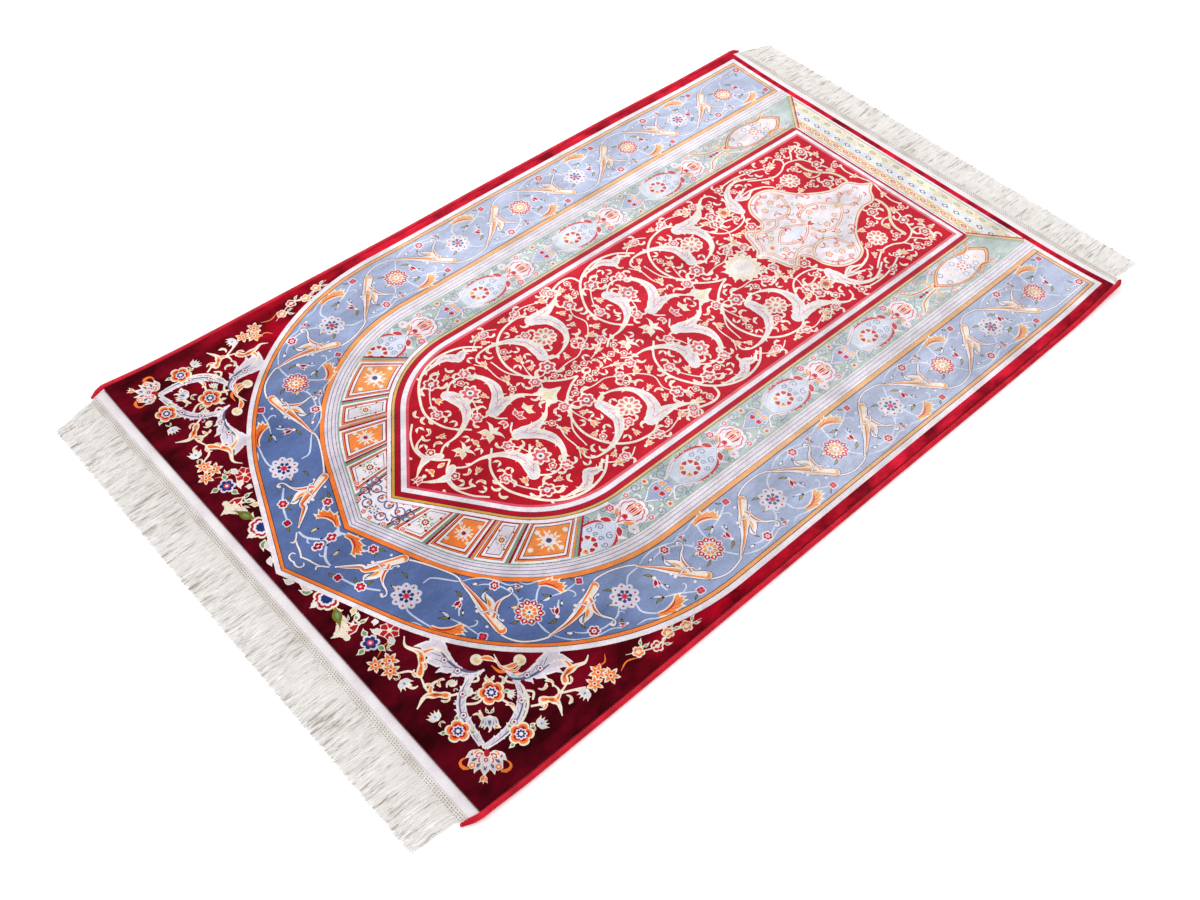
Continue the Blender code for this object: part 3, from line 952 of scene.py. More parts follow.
def farBandTiles():
    f = farBand
    low, high = f["low"], f["high"]

    def edge(y):
        return 152.0 + (213.6 - 152.0) * (y - 996.0) / 50.0

    lay("white", [complex(-9, low - 1.5), complex(edge(low - 1.5), low - 1.5), complex(edge(high) + 2.5, high),
        complex(-9, high)], "farBand")
    pen["zone"] = "farBand"
    lay("ink", [complex(-9, low + 1), complex(edge(low + 1) - 4, low + 1), complex(edge(high - 1.5) - 5, high - 1.5),
        complex(-9, high - 1.5)])
    lay("cream", [complex(-9, low + 1.8), complex(edge(low + 1.8) - 5, low + 1.8),
        complex(edge(high - 2.3) - 6, high - 2.3), complex(-9, high - 2.3)])
    step = (high - low - 6) / f["rows"]
    for row in range(f["rows"]):
        y0 = low + 3 + row * step
        ground = ("gold", "haze", "straw")[row]
        lay(ground, [complex(-9, y0 + 0.9), complex(edge(y0) - 7, y0 + 0.9),
            complex(edge(y0 + step) - 8, y0 + step - 0.9), complex(-9, y0 + step - 0.9)])
        pitch = (edge(y0 + step / 2) - 8) / f["tiles"]
        for k in range(f["tiles"] + 1):
            at = complex(k * pitch, y0 + step / 2)
            lay("cream", [at + p for p in (complex(-pitch * 0.46, 0), complex(0, -step * 0.42),
                complex(pitch * 0.46, 0), complex(0, step * 0.42))])
            inside = ("red", "navy", "sage")[row]
            lay(inside, [at + p for p in (complex(-pitch * 0.32, 0), complex(0, -step * 0.28),
                complex(pitch * 0.32, 0), complex(0, step * 0.28))])
            blossom(at, step * 0.17, 0, "cream", "orange" if row != 1 else "cream", None, None, 4)
    pen["zone"] = None
    # the mitre lines at both ends of the band
    a, b = complex(edge(low) - 1.2, low - 1.5), complex(edge(high) - 1.2, high)
    n = 1j * (b - a) / abs(b - a)
    for off, yarn, wide in ((0.0, "ink", 4.6), (0.0, "gold", 3.4), (-4.2, "sage", 2.2), (3.4, "crimson", 1.6)):
        lay(yarn, [a + n * (off - wide / 2), b + n * (off - wide / 2), b + n * (off + wide / 2),
            a + n * (off + wide / 2)])


# ---- the spandrels in the two near corners, and the sprays along the near edge
spandrel = {
    "stems": ((297, 42, 295, 60, 299, 84, 288, 104, 270, 112, 248, 112), (296, 42, 280, 48, 256, 48, 236, 62, 229,
            82, 231, 96), (292, 104, 299, 118, 300, 134, 297, 146), (236, 62, 226, 46, 212, 40, 196, 44),
            (240, 50, 254, 66, 254, 78), (292, 88, 276, 90, 264, 86), (196, 44, 184, 40, 178, 30),
            (300, 134, 306, 146, 312, 158), (262, 64, 274, 60, 278, 54), (250, 112, 254, 104, 262, 108),
            (228, 88, 236, 84, 232, 76), (276, 112, 282, 116, 288, 110), (244, 56, 242, 68, 246, 74)),
    "ferns": ((18, 10, 1, 296, 44, 297, 60, 295, 78, 286, 96, 272, 108, 252, 112),
            (18, 10, -1, 292, 43, 272, 46, 254, 50, 240, 60, 231, 76, 229, 92), (33, 7, 0, 246, 111, 256, 113, 263, 122,
            266, 136, 267, 158), (33, 7, 0, 231, 96, 229, 86, 220, 78, 204, 73, 172, 75)),
    "splits": ((8.5, 1, 295, 146, 288, 152, 288, 166, 291, 176, 287, 184),
            (8.5, 1, 293, 116, 300, 124, 308, 126, 320, 120), (8.5, -1, 194, 44, 186, 52, 174, 60, 158, 54, 148, 60),
            (8.5, -1, 230, 52, 222, 44, 216, 34, 222, 20)),
    "blooms": ((255 + 85j, 14.0, 0.3), (308 + 78j, 13.0, 0.9), (266 + 35j, 13.0, 0.1)),
    "buds": ((273 + 68j, -0.7, 16), (312 + 95j, 1.4, 12), (245 + 28j, 3.2, 12), (316 + 158j, -1.5, 13),
            (186 + 27j, 0.1, 13), (266 + 96j, 0.6, 9), (243 + 72j, 3.9, 9), (282 + 104j, 2.0, 8), (226 + 62j, 2.8, 8)),
    "stars": ((319 + 185j, 10.5), (308 + 178j, 10.5), (315 + 167j, 10.0), (161 + 32j, 10.5), (171 + 26j, 10.5),
            (156 + 19j, 10.0)),
}


def bloom(place, r, turn):
    for yarn, size, petals, depth in (("cream", 1.0, 5, 0.38), ("orange", 0.84, 5, 0.38), ("red", 0.64, 5, 0.4),
            ("white", 0.5, 8, 0.3), ("navy", 0.38, 8, 0.4), ("white", 0.16, 5, 0.1)):
        ring(yarn, place, turn, r * size, petals, depth, 0.0 if petals == 5 else 0.6, 6)


def spandrelMotifs():
    for flat in spandrel["stems"]:
        stroke(trace(complex, 5, *flat), taper(2.5, 0.9, 0.7), "cream")
    stroke(trace(complex, 5, 262, 121, 250, 116, 243, 106, 232, 104), taper(3.4), "orange")
    stroke(trace(complex, 5, 248, 132, 252, 118, 240, 110, 224, 114), taper(3.0), "cream", ("orange", 0.8))
    for wide, lobes, side, *flat in spandrel["ferns"]:
        path = trace(complex, 5, *flat)
        if side:
            acanthus(path, wide, lobes, side, "white", "lavender", "slate")
        else:
            acanthus(path, wide, lobes, 1, "white", "lavender", "slate", plumeShape, 0.62, 0.92)
        for share in (0.4, 0.66):
            blossom(spotOn(path, share)[0], 4.0, share, "slate", "white", "red", None)
    for place, size in ((246 + 129j, 13.5), (217 + 97j, 13.0)):
        disc("cream", place, size, size * 0.95, 12)
        disc("straw", place + 1, size * 0.6, size * 0.5, 10)
        leaf(place, 237 + 110j, 6.5, 0.2, "cream", ("orange", 1.2))
    for wide, side, *flat in spandrel["splits"]:
        path = trace(complex, 5, *flat)
        splitLeaf(path, wide, None, "cream", "orange", "brick", 0.45, side, 0.55, 0.85, -0.3)
        curlet(path[0], cmath.phase(path[0] - path[2]) + side * 0.8, 9, side, "cream", ("orange", 0.9))
    for place, r, turn in spandrel["blooms"]:
        bloom(place, r, turn)
        for a in (0.6, 2.4, 4.0):
            leaf(place + polar(r * 0.8, turn + a), place + polar(r * 1.45, turn + a), 5, 0.1, "cream", ("sage", 0.9),
                count=5)
    for x, y, angle, side in ((284, 90, 2.6, 1), (246, 102, 0.4, -1), (286, 56, 2.0, 1), (222, 56, 2.4, -1),
            (300, 108, 1.0, 1), (214, 46, 3.0, 1), (306, 138, 0.4, -1), (192, 50, 1.8, 1), (238, 90, 0.2, 1),
            (262, 56, 1.2, -1), (280, 70, 5.2, 1), (290, 134, 2.4, 1), (202, 36, 4.6, -1), (282, 122, 0.6, 1),
            (212, 60, 4.4, 1)):
        swash(complex(x, y), angle, 10.0, side, "cream", "straw" if x % 4 else "orange")
    for place, angle, size in spandrel["buds"]:
        for turn in (-0.7, 0.7, -0.34, 0.34, 0.0):
            ray(place, size, angle + turn, size * 0.46, 0.0, "cream", ("haze", 0.8), ("slate", 2.0), count=6)
        sprig(place - polar(2, angle), angle + math.pi, size * 0.5, "sage", "cream")
    # the corner palmette, opening towards the corner
    corner, out = 302 + 41j, math.radians(-45)
    for reach, wide, fans, yarns_ in ((25, 9.0, (-1.25, 1.25, -0.85, 0.85, -0.42, 0.42, 0.0),
            ("cream", "lavender", "slate")), (15, 7.0, (-1.1, 1.1, -0.55, 0.55, 0.0), ("cream", "rose", "white"))):
        for turn in fans:
            ray(corner, reach * (1 - 0.14 * abs(turn)), out + turn, wide, 0.1 * turn, yarns_[0], (yarns_[1], 0.9),
                (yarns_[2], wide * 0.32), belly=0.62)
    blossom(corner + polar(7, out), 6.0, 0.4, "cream", "lavender", "red", "white", 6)
    bud(corner + polar(21, out), out, 10, "cream", "orange", "red")
    for side in (1, -1):
        blossom(corner + polar(18, out + side * 0.75), 4.2, 0.3, "cream", "orange", "white", None)
        swash(corner + polar(5, out + side * 2.0), out + side * 1.7, 9, -side, "cream", "orange")
        curlet(corner + polar(21, out + side * 1.25), out + side * 1.15, 12, -side, "orange")
    disc("red", corner, 8, 6, 9, angle=out)
    for place, r in spandrel["stars"]:
        for yarn, size in (("cream", 1.0), ("orange", 0.74)):
            ring(yarn, place, r + place.real, r * size, 6, 0.55, 0.9, 4)
        disc("cream", place, r * 0.5, count=8)
        disc("red", place, r * 0.3, count=6)
    for flat in ((300, 176, 304, 190, 297, 197), (150, 26, 143, 40, 148, 46), (322, 196, 318, 208, 323, 220)):
        stroke(trace(complex, 4, *flat), taper(1.5), "orange")
    # along the near edge, towards the middle line
    place = 133 + 53j
    for j in range(6):
        ray(place, 12, 0.3 + math.tau * j / 6, 10, 0.0, "cream", ("red", 1.0), belly=0.62)
    disc("cream", place, 6.4, count=4, angle=0.5)
    for turn in (-2.4, -0.7):
        leaf(place + polar(7, turn), place + polar(20, turn), 8.5, 0.2, "cream", ("lavender", 1.4))
    blossom(132 + 30j, 10.0, 0.0, "lavender", "navy", "rose", "white", 6)
    for turn in (-1.45, 2.9, 0.3):
        leaf(132 + 30j + polar(8, turn), 132 + 30j + polar(19, turn), 7.5, 0.1, "cream", ("sage", 1.2))
    bud(112 + 16j, 2.2, 21, "cream", "red", "orange")
    for x, y, angle, size in ((104, 34, 1.9, 13), (96, 26, 2.8, 9), (146, 40, 0.6, 8), (40, 20, 2.6, 8)):
        sprig(complex(x, y), angle, size, "sage", "cream")
    acanthus(trace(complex, 4, 66, 26, 80, 27, 94, 22, 106, 11), 19, 5, 1, "cream", "cream", "gold", plumeShape, 0.6,
        0.9)
    leaf(74 + 28j, 98 + 18j, 11, 0.0, "olive", ("sage", 3.4))
    for size, yarn in ((15, "cream"), (12.5, "red"), (9.5, "white"), (6.5, "navy")):
        ring(yarn, 60 + 28j, 0.2, size, 9, 0.2)
    for x, y, tipX, tipY, yarn in ((44, 22, 32, 12, "sage"), (42, 24, 26, 17, "lavender"), (56, 18, 58, 8, "white"),
            (86, 42, 94, 34, "straw"), (22, 14, 10, 8, "lavender"), (112, 50, 118, 44, "white")):
        leaf(complex(x, y), complex(tipX, tipY), 8, 0.1, "cream", (yarn, 1.2))
    curlet(100 + 34j, 0.9, 9, 1, "cream")
    # up the side margin, where the arch leaves it
    for x, y, angle in ((318, 224, 1.9), (326, 243, 1.4), (322, 262, 1.7), (329, 282, 1.5)):
        blossom(complex(x, y), 7.0, angle, "cream", "red" if y % 2 else "orange", "cream", None)
        sprig(complex(x, y) + polar(7, angle), angle, 10, "sage", "cream")
    stroke(trace(complex, 4, 312, 212, 318, 224, 326, 243, 323, 262, 329, 282, 333, 300), taper(1.5), "cream")


# ---- the field: two repeats of scrolls under a hanging medallion
fieldScrolls = {"ogee": 689.0, "repeat": 257.0, "clear": 5.6, "pitch": 4.0}


def scrollSet(y0):
    def c(x, y):
        return complex(x, y0 + y)

    def stem(*flat, wide=3.2):
        stroke(trace(c, 6, *flat), taper(wide, 0.9, 0.8), "cream")

    # thin stems: out of the ogee's tip and round, the two loops, and the lower S
    stem(0, -2, 6, -18, 20, -37, 42, -51, 70, -56, 98, -46, 117, -24, 122, 4, 114, 20)
    stem(112, -58, 128, -78, 134, -104, 130, -128, 118, -148, 98, -164, 70, -176, 40, -170, 18, -150)
    stem(118, -148, 131, -152, 135, -166, 130, -186, 120, -206)
    stem(4, -108, 14, -118, 24, -116, wide=2.2)
    stem(0, -56, 18, -44, 34, -44, 58, -62, 86, -66, wide=2.0)
    # the leafy finial under the ogee, and the little palmette inside it
    lay("cream", trace(c, 4, 0, -29, 6, -41, 15, -48, 10, -58, 3, -57, 0, -62, -3, -57, -10, -58, -15, -48, -6, -41,
        closed=True))
    lay("straw", trace(c, 3, 0, -36, 4, -46, 7, -50, 0, -55, -7, -50, -4, -46, closed=True))
    for x, y, r, turns in ((0, -99, 9.5, (0.0, 0.8, -0.8)), (0, -84, 9.0, (0.0, 0.9, -0.9)),
            (0, -112, 8.0, (3.14, 2.2, -2.2))):
        for turn in turns:
            ray(c(x, y), r * 1.35, math.pi / 2 + turn * 1.2, r * 0.8, 0, "cream",
                ("rose" if y != -84 else "straw", 1.1))
    disc("navy", c(0, -97), 3.0, count=6)
    # leaves with two wings each: one wing carries the stem on round its loop
    wingedLeaf(c, (107, 16), (107, 36, 112, 56, 129, 84), (96, 32, 76, 37, 56, 30, 44, 12, 42, -6, 50, -14), width=17.5)
    wingedLeaf(c, (52, -13), (68, -11, 84, -14, 98, -28, 106, -48, 106, -68, 98, -78, 88, -74),
        (64, -8, 76, 2, 86, 10), width=15.5)
    wingedLeaf(c, (22, -114), (26, -94, 22, -74, 10, -60, 3, -54), (34, -98, 52, -88, 72, -90, 88, -104, 91, -122,
        82, -136), width=16.5)
    wingedLeaf(c, (78, -139), (62, -134, 46, -136, 32, -148, 22, -168, 20, -188, 12, -200),
        (66, -130, 54, -124, 42, -114), width=15.5)
    wingedLeaf(c, (116, -92), (127, -104, 126, -124, 122, -144), (120, -78, 112, -66), width=13.0)
    # a pair of buds where the lower S leaves the middle line
    for y, size in ((-136, 13), (-176, 11)):
        for turn in (0.0, 0.75, -0.75):
            ray(c(0, y), size * 1.25, -math.pi / 2 + turn, size * 0.75, 0, "cream", ("straw" if turn else "rose", 1.1))
        leaf(c(0, y), c(0, y + size), size * 0.5, 0, "cream")
        for side in (1, -1):
            leaf(c(0, y - 2), c(side * size * 1.3, y + size * 0.5), size * 0.4, side * 0.2, "cream")
    # flowers in the loops, and the small ones between
    rosette(c(75, 11), 15.5, 0.2, "cream", "rose", "cream", "red", 10, 0.4, None, "straw")
    blossom(c(63, -116), 14.0, 0.2, "cream", "rose", "cream", "navy", 7, 0.8)
    for x, y, r in ((35, -20, 11.0), (104, -142, 10.5), (26, -47, 8.0), (33, 36, 7.5), (129, 8, 7.5),
            (127, -44, 7.5), (92, -102, 8.0), (62, -166, 8.0), (28, -134, 8.0), (133, -196, 7.0), (96, 70, 9.5),
            (26, 60, 8.0), (92, -6, 7.5), (127, 66, 7.0)):
        spray(c(x, y), r, 0.3 + x, "red" if r > 9 else "rose", "white", "navy" if r > 9 else "red")
    for x, y, angle, size in ((60, -38, 0.1, 13), (127, 42, 1.9, 14), (128, -62, 1.6, 13), (84, -154, 2.8, 12),
            (42, 50, 1.9, 13), (131, -16, 1.7, 11), (14, 40, 1.2, 12), (52, 66, 2.4, 12), (82, -76, 0.2, 12),
            (120, -182, 1.2, 11), (46, -72, 0.4, 13), (102, -180, 0.2, 12), (96, 50, 2.4, 11)):
        bud(c(x, y), angle, size, "cream", "orange", "red")
    for flat in ((34, -22, 28, -34, 36, -44, 58, -40), (33, 36, 24, 20, 24, 4, 22, -12),
            (127, 40, 132, 22, 129, 8, 122, -4), (124, -26, 131, -40, 126, -56, 116, -70),
            (62, -166, 78, -162, 94, -152, 104, -142), (96, 70, 80, 62, 60, 66, 42, 52, 33, 36),
            (86, -108, 92, -102, 100, -98), (26, 60, 18, 50, 14, 40, 10, 28), (46, -72, 62, -76, 82, -76, 96, -84),
            (28, -134, 38, -126, 50, -122), (104, -142, 108, -130, 116, -122)):
        stroke(trace(c, 5, *flat), taper(1.6, 0.9, 0.8), "cream")


def medallion():
    right = [0 + 980j, 5 + 972j, 10 + 966j, 20 + 959j, 25 + 950j, 24 + 936j, 28 + 920j, 38 + 902j, 52 + 884j,
        68 + 872j, 80 + 864j, 87 + 850j, 87 + 834j, 80 + 818j, 66 + 807j, 50 + 804j, 40 + 801j, 35 + 794j, 36 + 784j,
        43 + 774j, 38 + 767j, 22 + 762j, 8 + 757j, 0 + 748j]
    shape = through(right + [complex(-p.real, p.imag) for p in right[-2:0:-1]], 4, True)

    def inset(less):
        made = []
        for k, p in enumerate(shape):
            ahead = shape[(k + 1) % len(shape)] - shape[k - 1]
            made.append(p - 1j * ahead / (abs(ahead) or 1) * less)
        return [q for q in made if less < 0.1 or min(abs(q - p) for p in shape) > less * 0.98]

    # an arm on each side that reaches out of the shoulder
    banded(trace(complex, 6, 18, 955, 34, 960, 52, 955, 66, 941, 80, 934, 96, 934), 5.4)
    banded(trace(complex, 5, 62, 946, 60, 934, 66, 924, 78, 926), 3.6)
    disc("straw", 96 + 933j, 6.4)
    for yarn, less in (("brick", -2.8), ("straw", -2.1), ("red", 0.6), ("lavender", 1.6)):
        lay(yarn, inset(less))
    for wide, *flat in ((4.2, 78, 856, 68, 862, 50, 858, 36, 850, 32, 832, 38, 816, 48, 808),
            (3.8, 2, 912, 12, 904, 24, 884, 26, 866, 18, 850, 6, 846), (3.2, 6, 950, 12, 940, 10, 924, 2, 914),
            (4.2, 34, 822, 26, 812, 26, 796, 32, 782, 24, 772, 10, 768, 2, 762),
            (3.6, 0, 846, 10, 834, 16, 818, 10, 802, 0, 790), (2.4, 60, 812, 74, 822, 80, 836, 78, 850)):
        banded(trace(complex, 5, *flat), wide, "red")
    for x, y, angle, size, turn in ((46, 876, 0.4, 9, 1), (38, 886, 2.2, 8, -1), (60, 866, 0.2, 9, -1),
            (76, 848, 4.2, 8, 1), (80, 828, 2.6, 8, 1), (46, 846, 0.6, 8, 1), (70, 814, 2.0, 8, -1),
            (40, 826, 0.3, 8, 1), (20, 886, 3.0, 8, 1), (28, 870, 0.2, 7, -1), (22, 858, -0.6, 8, -1),
            (22, 838, -0.9, 9, 1), (20, 812, 1.4, 8, 1), (26, 790, 2.8, 7, 1), (16, 776, 1.2, 8, -1),
            (18, 930, 2.2, 7, 1), (10, 952, 0.8, 6, 1), (6, 820, 1.0, 7, -1), (36, 794, -1.8, 7, 1),
            (14, 912, 0.2, 7, -1)):
        curlet(complex(x, y), angle, size * 1.25, turn, "red", ("straw", 0.9))
    for x, y, r in ((64, 842, 4.2), (57, 824, 4.2), (18, 838, 3.4), (34, 868, 4.0), (16, 868, 4.0), (14, 788, 4.0),
            (52, 846, 3.2), (12, 926, 3.4), (6, 940, 2.8), (72, 830, 3.0), (10, 890, 3.6), (36, 808, 3.0),
            (34, 776, 3.0), (10, 808, 2.8), (66, 856, 2.8)):
        blossom(complex(x, y), r * 1.2, 0.4 + x, "red", "straw", "orange", None)
    for x, y, angle in ((58, 834, 1.0), (26, 846, 0.2), (8, 858, 1.4), (44, 862, 2.4), (20, 800, -1.0),
            (28, 900, 2.0), (8, 782, 0.4), (46, 832, 2.2)):
        sprig(complex(x, y), angle, 6.0, "sage")
    lay("haze", trace(complex, 3, 0, 838, 7, 828, 7, 814, 0, 800, -7, 814, -7, 828, closed=True))
    bud(0 + 844j, math.pi / 2, 15, "cream", "red", "orange")
    bud(0 + 900j, math.pi / 2, 11, "straw", "orange", "red")
    blossom(0 + 776j, 5.5, 0.3, "straw", "orange", "red", None)


def pendant():
    ring("cream", 0 + 719j, math.pi / 2, 26.5, 16, 0.2, 0.8, 4)
    ring("straw", 0 + 719j, math.pi / 2, 22.5, 16, 0.18, 0.8, 4)
    ring("cream", 0 + 718j, math.pi / 2, 17.5, 12, 0.16, 0.2, 4)
    disc("white", 0 + 717j, 20, 24, 14)
    for k in range(3):
        leaf(complex(0, 708 + 3 * k), complex(0, 722 + 3 * k), 9 - 2.4 * k, 0, "straw", ("lavender", 0.9))
    for side in (1, -1):
        leaf(complex(0, 697), complex(side * 13, 690), 5.5, side * 0.2, "cream")
    leaf(0 + 748j, 0 + 757j, 6, 0, "cream")


def upperField():
    for flat in ((78, 954, 98, 946, 106, 932, 107, 918, 100, 904, 98, 886, 106, 868, 116, 852),
            (107, 918, 116, 922, 124, 916, 120, 909), (78, 798, 64, 790, 58, 772, 60, 752, 72, 738, 92, 728, 112,
            716), (112, 904, 122, 884, 129, 862, 132, 838, 130, 812), (106, 932, 114, 940, 122, 946),
            (98, 946, 100, 958, 112, 964, 128, 962), (78, 954, 64, 960, 50, 958),
            (84, 870, 94, 858, 100, 838, 98, 814), (22, 748, 34, 744, 44, 734, 46, 722),
            (0, 984, 20, 978, 40, 974, 56, 978), (72, 752, 78, 764, 74, 780), (92, 774, 88, 762, 82, 752)):
        stroke(trace(complex, 6, *flat), 2.4, "cream")
    wingedLeaf(complex, (78, 798), (92, 802, 106, 804, 120, 816, 126, 834, 120, 852, 112, 866),
        (92, 792, 104, 796, 114, 798), width=13.0)
    wingedLeaf(complex, (110, 712), (106, 730, 110, 748, 122, 762, 131, 776, 128, 788, 118, 792),
        (98, 720, 92, 734, 90, 744), width=14.0)
    wingedLeaf(complex, (98, 812), (92, 826, 98, 842, 94, 856), (104, 826, 108, 838), width=8.0)
    rosette(78 + 898j, 15.0, 0.2, "cream", "rose", "cream", "red", 10, 0.36, None, "straw")
    blossom(91 + 778j, 11.5, 0.2, "cream", "orange", "red", "navy", 7, 0.7)
    for x, y, r in ((40, 934, 9.0), (78, 954, 8.0), (112, 958, 9.0), (92, 922, 6.0), (54, 914, 6.0), (82, 752, 9.0),
            (47, 786, 9.0), (72, 782, 6.0), (113, 772, 6.0), (130, 866, 6.0), (24, 750, 6.5), (38, 730, 6.0),
            (128, 806, 6.5), (94, 716, 5.0), (60, 972, 5.5), (126, 742, 6.5), (116, 892, 5.5)):
        spray(complex(x, y), r, 0.3 + x, "red", "cream", "navy" if r > 8 else None)
    for x, y, angle, size in ((122, 948, 1.0, 13), (118, 896, 1.4, 13), (48, 764, 1.9, 13), (54, 742, 2.4, 12),
            (60, 956, 2.6, 12), (128, 838, 1.6, 11), (66, 924, 0.8, 11), (52, 888, 1.2, 12), (28, 970, 2.0, 11),
            (132, 724, 1.6, 12), (88, 968, 0.4, 12), (66, 868, 0.9, 10), (94, 880, 0.5, 9)):
        bud(complex(x, y), angle, size, "cream", "orange", "red")


def fieldFiller(p, chance):
    turn = chance * math.tau
    kind = int(chance * 97) % 5
    if kind == 0:
        spray(p, 5.0, turn, "red", "cream", None, 5, 2)
    elif kind == 1:
        bud(p - polar(4, turn), turn, 10, "cream", "orange", "red")
    elif kind == 2:
        sprig(p - polar(3, turn), turn, 9, "cream")
    else:
        swash(p - polar(4, turn), turn, 11, 1 if kind == 3 else -1, "cream", "straw" if chance > 0.4 else "orange")


def fieldMotifs():
    pen["zone"] = "field"
    first = len(drawn)
    upperField()
    for k in range(2):
        scrollSet(fieldScrolls["ogee"] - fieldScrolls["repeat"] * k)
    # the foot of the field, where the scrolls end in the arch's tip
    stroke(trace(complex, 6, 0, 236, 12, 222, 32, 214, 54, 222, 70, 236), 2.4, "cream")
    splitLeaf(trace(complex, 6, 10, 232, 18, 220, 14, 206, 4, 192), 10, None, "cream", "lavender", None, 0.36, 1,
        0.7, 1.1, -0.3)
    bud(30 + 204j, -0.4, 10, "cream", "orange", "red")
    blossom(22 + 226j, 6, 0.2, "cream", "red", "cream", None)
    bud(0 + 200j, -math.pi / 2, 15, "cream", "rose", "straw")
    medallion()
    pendant()
    fillGaps(archArea(layout["fieldOut"] - 6, layout["farField"] - 6), first, fieldScrolls["clear"],
        fieldScrolls["pitch"], fieldFiller)
    pen["zone"] = None


def drawRug():
    groundwork()
    blueBorderMotifs()
    greenBandMotifs()
    fanPanels()
    farBandTiles()
    fieldMotifs()


# ---- yarns: the colour of each from the near corners to the far end, with the nap's sheen painted in: deep painted shade near
# the front, where the nap leans towards the eye, and paler painted sheen further back, where it leans away

yarns = {
    "ground": ("#4C0210", "#680316", "#94041A", "#B8182E"),
    "field": ("#98101F", "#B81C2C", "#C62B3A"),
    "crimson": ("#9C0C22", "#B61E32", "#C22C3E"),
    "rose": ("#D0405A", "#DA5C6C", "#E07A82"),
    "red": ("#B01F2C", "#C03A42", "#D06064"),
    "brick": ("#7C2C24", "#9A4A3C", "#B87464"),
    "orange": ("#EE7A34", "#EC9C5C", "#EDB888"),
    "gold": ("#CC9638", "#D8AE68", "#E2C494"),
    "straw": ("#E2C890", "#E8D6AC", "#ECDFC4"),
    "cream": ("#EDE0CC", "#F0E5D8", "#F2EAE0"),
    "white": ("#E6DEE4", "#EBE2E9", "#EEE6EC"),
    "lavender": ("#D6CCD8", "#E0D7DF", "#E9E1E8"),
    "haze": ("#C6CDE2", "#D2D8E9", "#DDE1EE"),
    "blue": ("#596D9F", "#97A4C6", "#B9C1DA"),
    "navy": ("#25356E", "#4C5C92", "#7080AC"),
    "slate": ("#5E6280", "#7C809A", "#9A9DB2"),
    "celadon": ("#94A5A4", "#A9B7B6", "#C0CBC9"),
    "sage": ("#6F9A70", "#8CAE8A", "#A8C2A6"),
    "olive": ("#77702A", "#928A48", "#B0A874"),
    "ink": ("#241A2A", "#382E3E", "#564C5A"),
}
# stops and slant place the painted sheen ramp along the rug; sideShade is painted shade, paler on the left and darker
# on the right
pile = {
    "stops": (10.0, 150.0, 290.0, 500.0), "slant": 0.17, "sideShade": 0.22, "napPatch": 0.055, "napDepth": 0.15,
    "groundPatch": 0.034, "groundDepth": 0.6, "combing": 0.011, "combDepth": 0.09, "knot": 0.0011, "knotDepth": 0.11,
    "knotBump": 0.35, "knotRise": 0.0004, "roughness": 0.62, "sheen": 0.05, "sheenRoughness": 0.4, "shine": 0.02,
}


# art silk, cut and brushed: a soft satin nap without sharp gloss. Its colour carries painted sheen and shade: deep and
# dark near the front, paler towards the far end and on the left side, and patchy and streaked, partly the yarn's own
# uneven tone and partly painted nap shading, with the knots showing as a fine grain, drawn at 1.1 mm (the real ones are
# about 0.9)
def silkPile(name, shades):
    made, tree, shader = newMaterial("artSilkPile" + name.capitalize())
    node = wiring(tree)
    place = addNode(tree, "ShaderNodeTexCoord").outputs["Object"]
    apart = addNode(tree, "ShaderNodeSeparateXYZ", {0: place}).outputs
    # painted sheen and shade: a colour ramp along the rug, slanted across it
    slant = node("ShaderNodeMath", {0: apart["X"], 1: -pile["slant"], 2: apart["Y"]}, operation="MULTIPLY_ADD")
    along = node("ShaderNodeMapRange", {0: slant, 1: -halfPile, 2: halfPile})
    ramp = addNode(tree, "ShaderNodeValToRGB", {0: along})
    stops = [stop / 1000 / rug["pile"] for stop in pile["stops"][-len(shades):]]
    ends = ramp.color_ramp.elements
    ends[0].position, ends[0].color = stops[0], hexColour(shades[0])
    ends[1].position, ends[1].color = stops[-1], hexColour(shades[-1])
    for stop, shade in list(zip(stops, shades))[1:-1]:
        ends.new(stop).color = hexColour(shade)
    # painted shade across the rug: paler on the left, darker on the right
    shade = node("ShaderNodeMath", {0: apart["X"], 1: -pile["sideShade"], 2: 1.0}, operation="MULTIPLY_ADD")
    # patches and combed streaks, partly the yarn's uneven tone and partly painted nap shading; then the knots' fine
    # grain
    key = "ground" if name == "ground" else "nap"
    for size, depth, detail, stretch in ((pile[key + "Patch"], pile[key + "Depth"], 3.0, 0.6),
                                         (pile["combing"], pile["combDepth"], 3.0, 0.4),
                                         (pile["knot"], pile["knotDepth"], 1.0, 1.0)):
        stretched = node("ShaderNodeMapping", {"Vector": place, "Scale": (1.0, stretch, 1.0)})
        patch = node("ShaderNodeTexNoise", {"Vector": stretched, "Scale": 1 / size, "Detail": detail, "Roughness": 0.6})
        factor = node("ShaderNodeMapRange", {0: patch, 1: 0.36, 2: 0.64, 3: 1 - depth, 4: 1 + depth})
        shade = node("ShaderNodeMath", {0: shade, 1: factor}, operation="MULTIPLY")
    feed(tree, shader, {
        "Base Color": node("ShaderNodeVectorMath", {0: ramp.outputs[0], "Scale": shade}, operation="SCALE"),
        "Normal": node("ShaderNodeBump", {"Height": patch, "Strength": pile["knotBump"], "Distance": pile["knotRise"]}),
        "Roughness": pile["roughness"], "Sheen Weight": pile["sheen"], "Sheen Roughness": pile["sheenRoughness"],
        "Sheen Tint": hexColour(shades[-1]), "Specular IOR Level": pile["shine"]})
    return made


# ---- weaving: every shape's outline goes into one flat triangulation, and each triangle takes the yarn of the topmost
# shape over it, so the colours meet edge to edge in one level surface

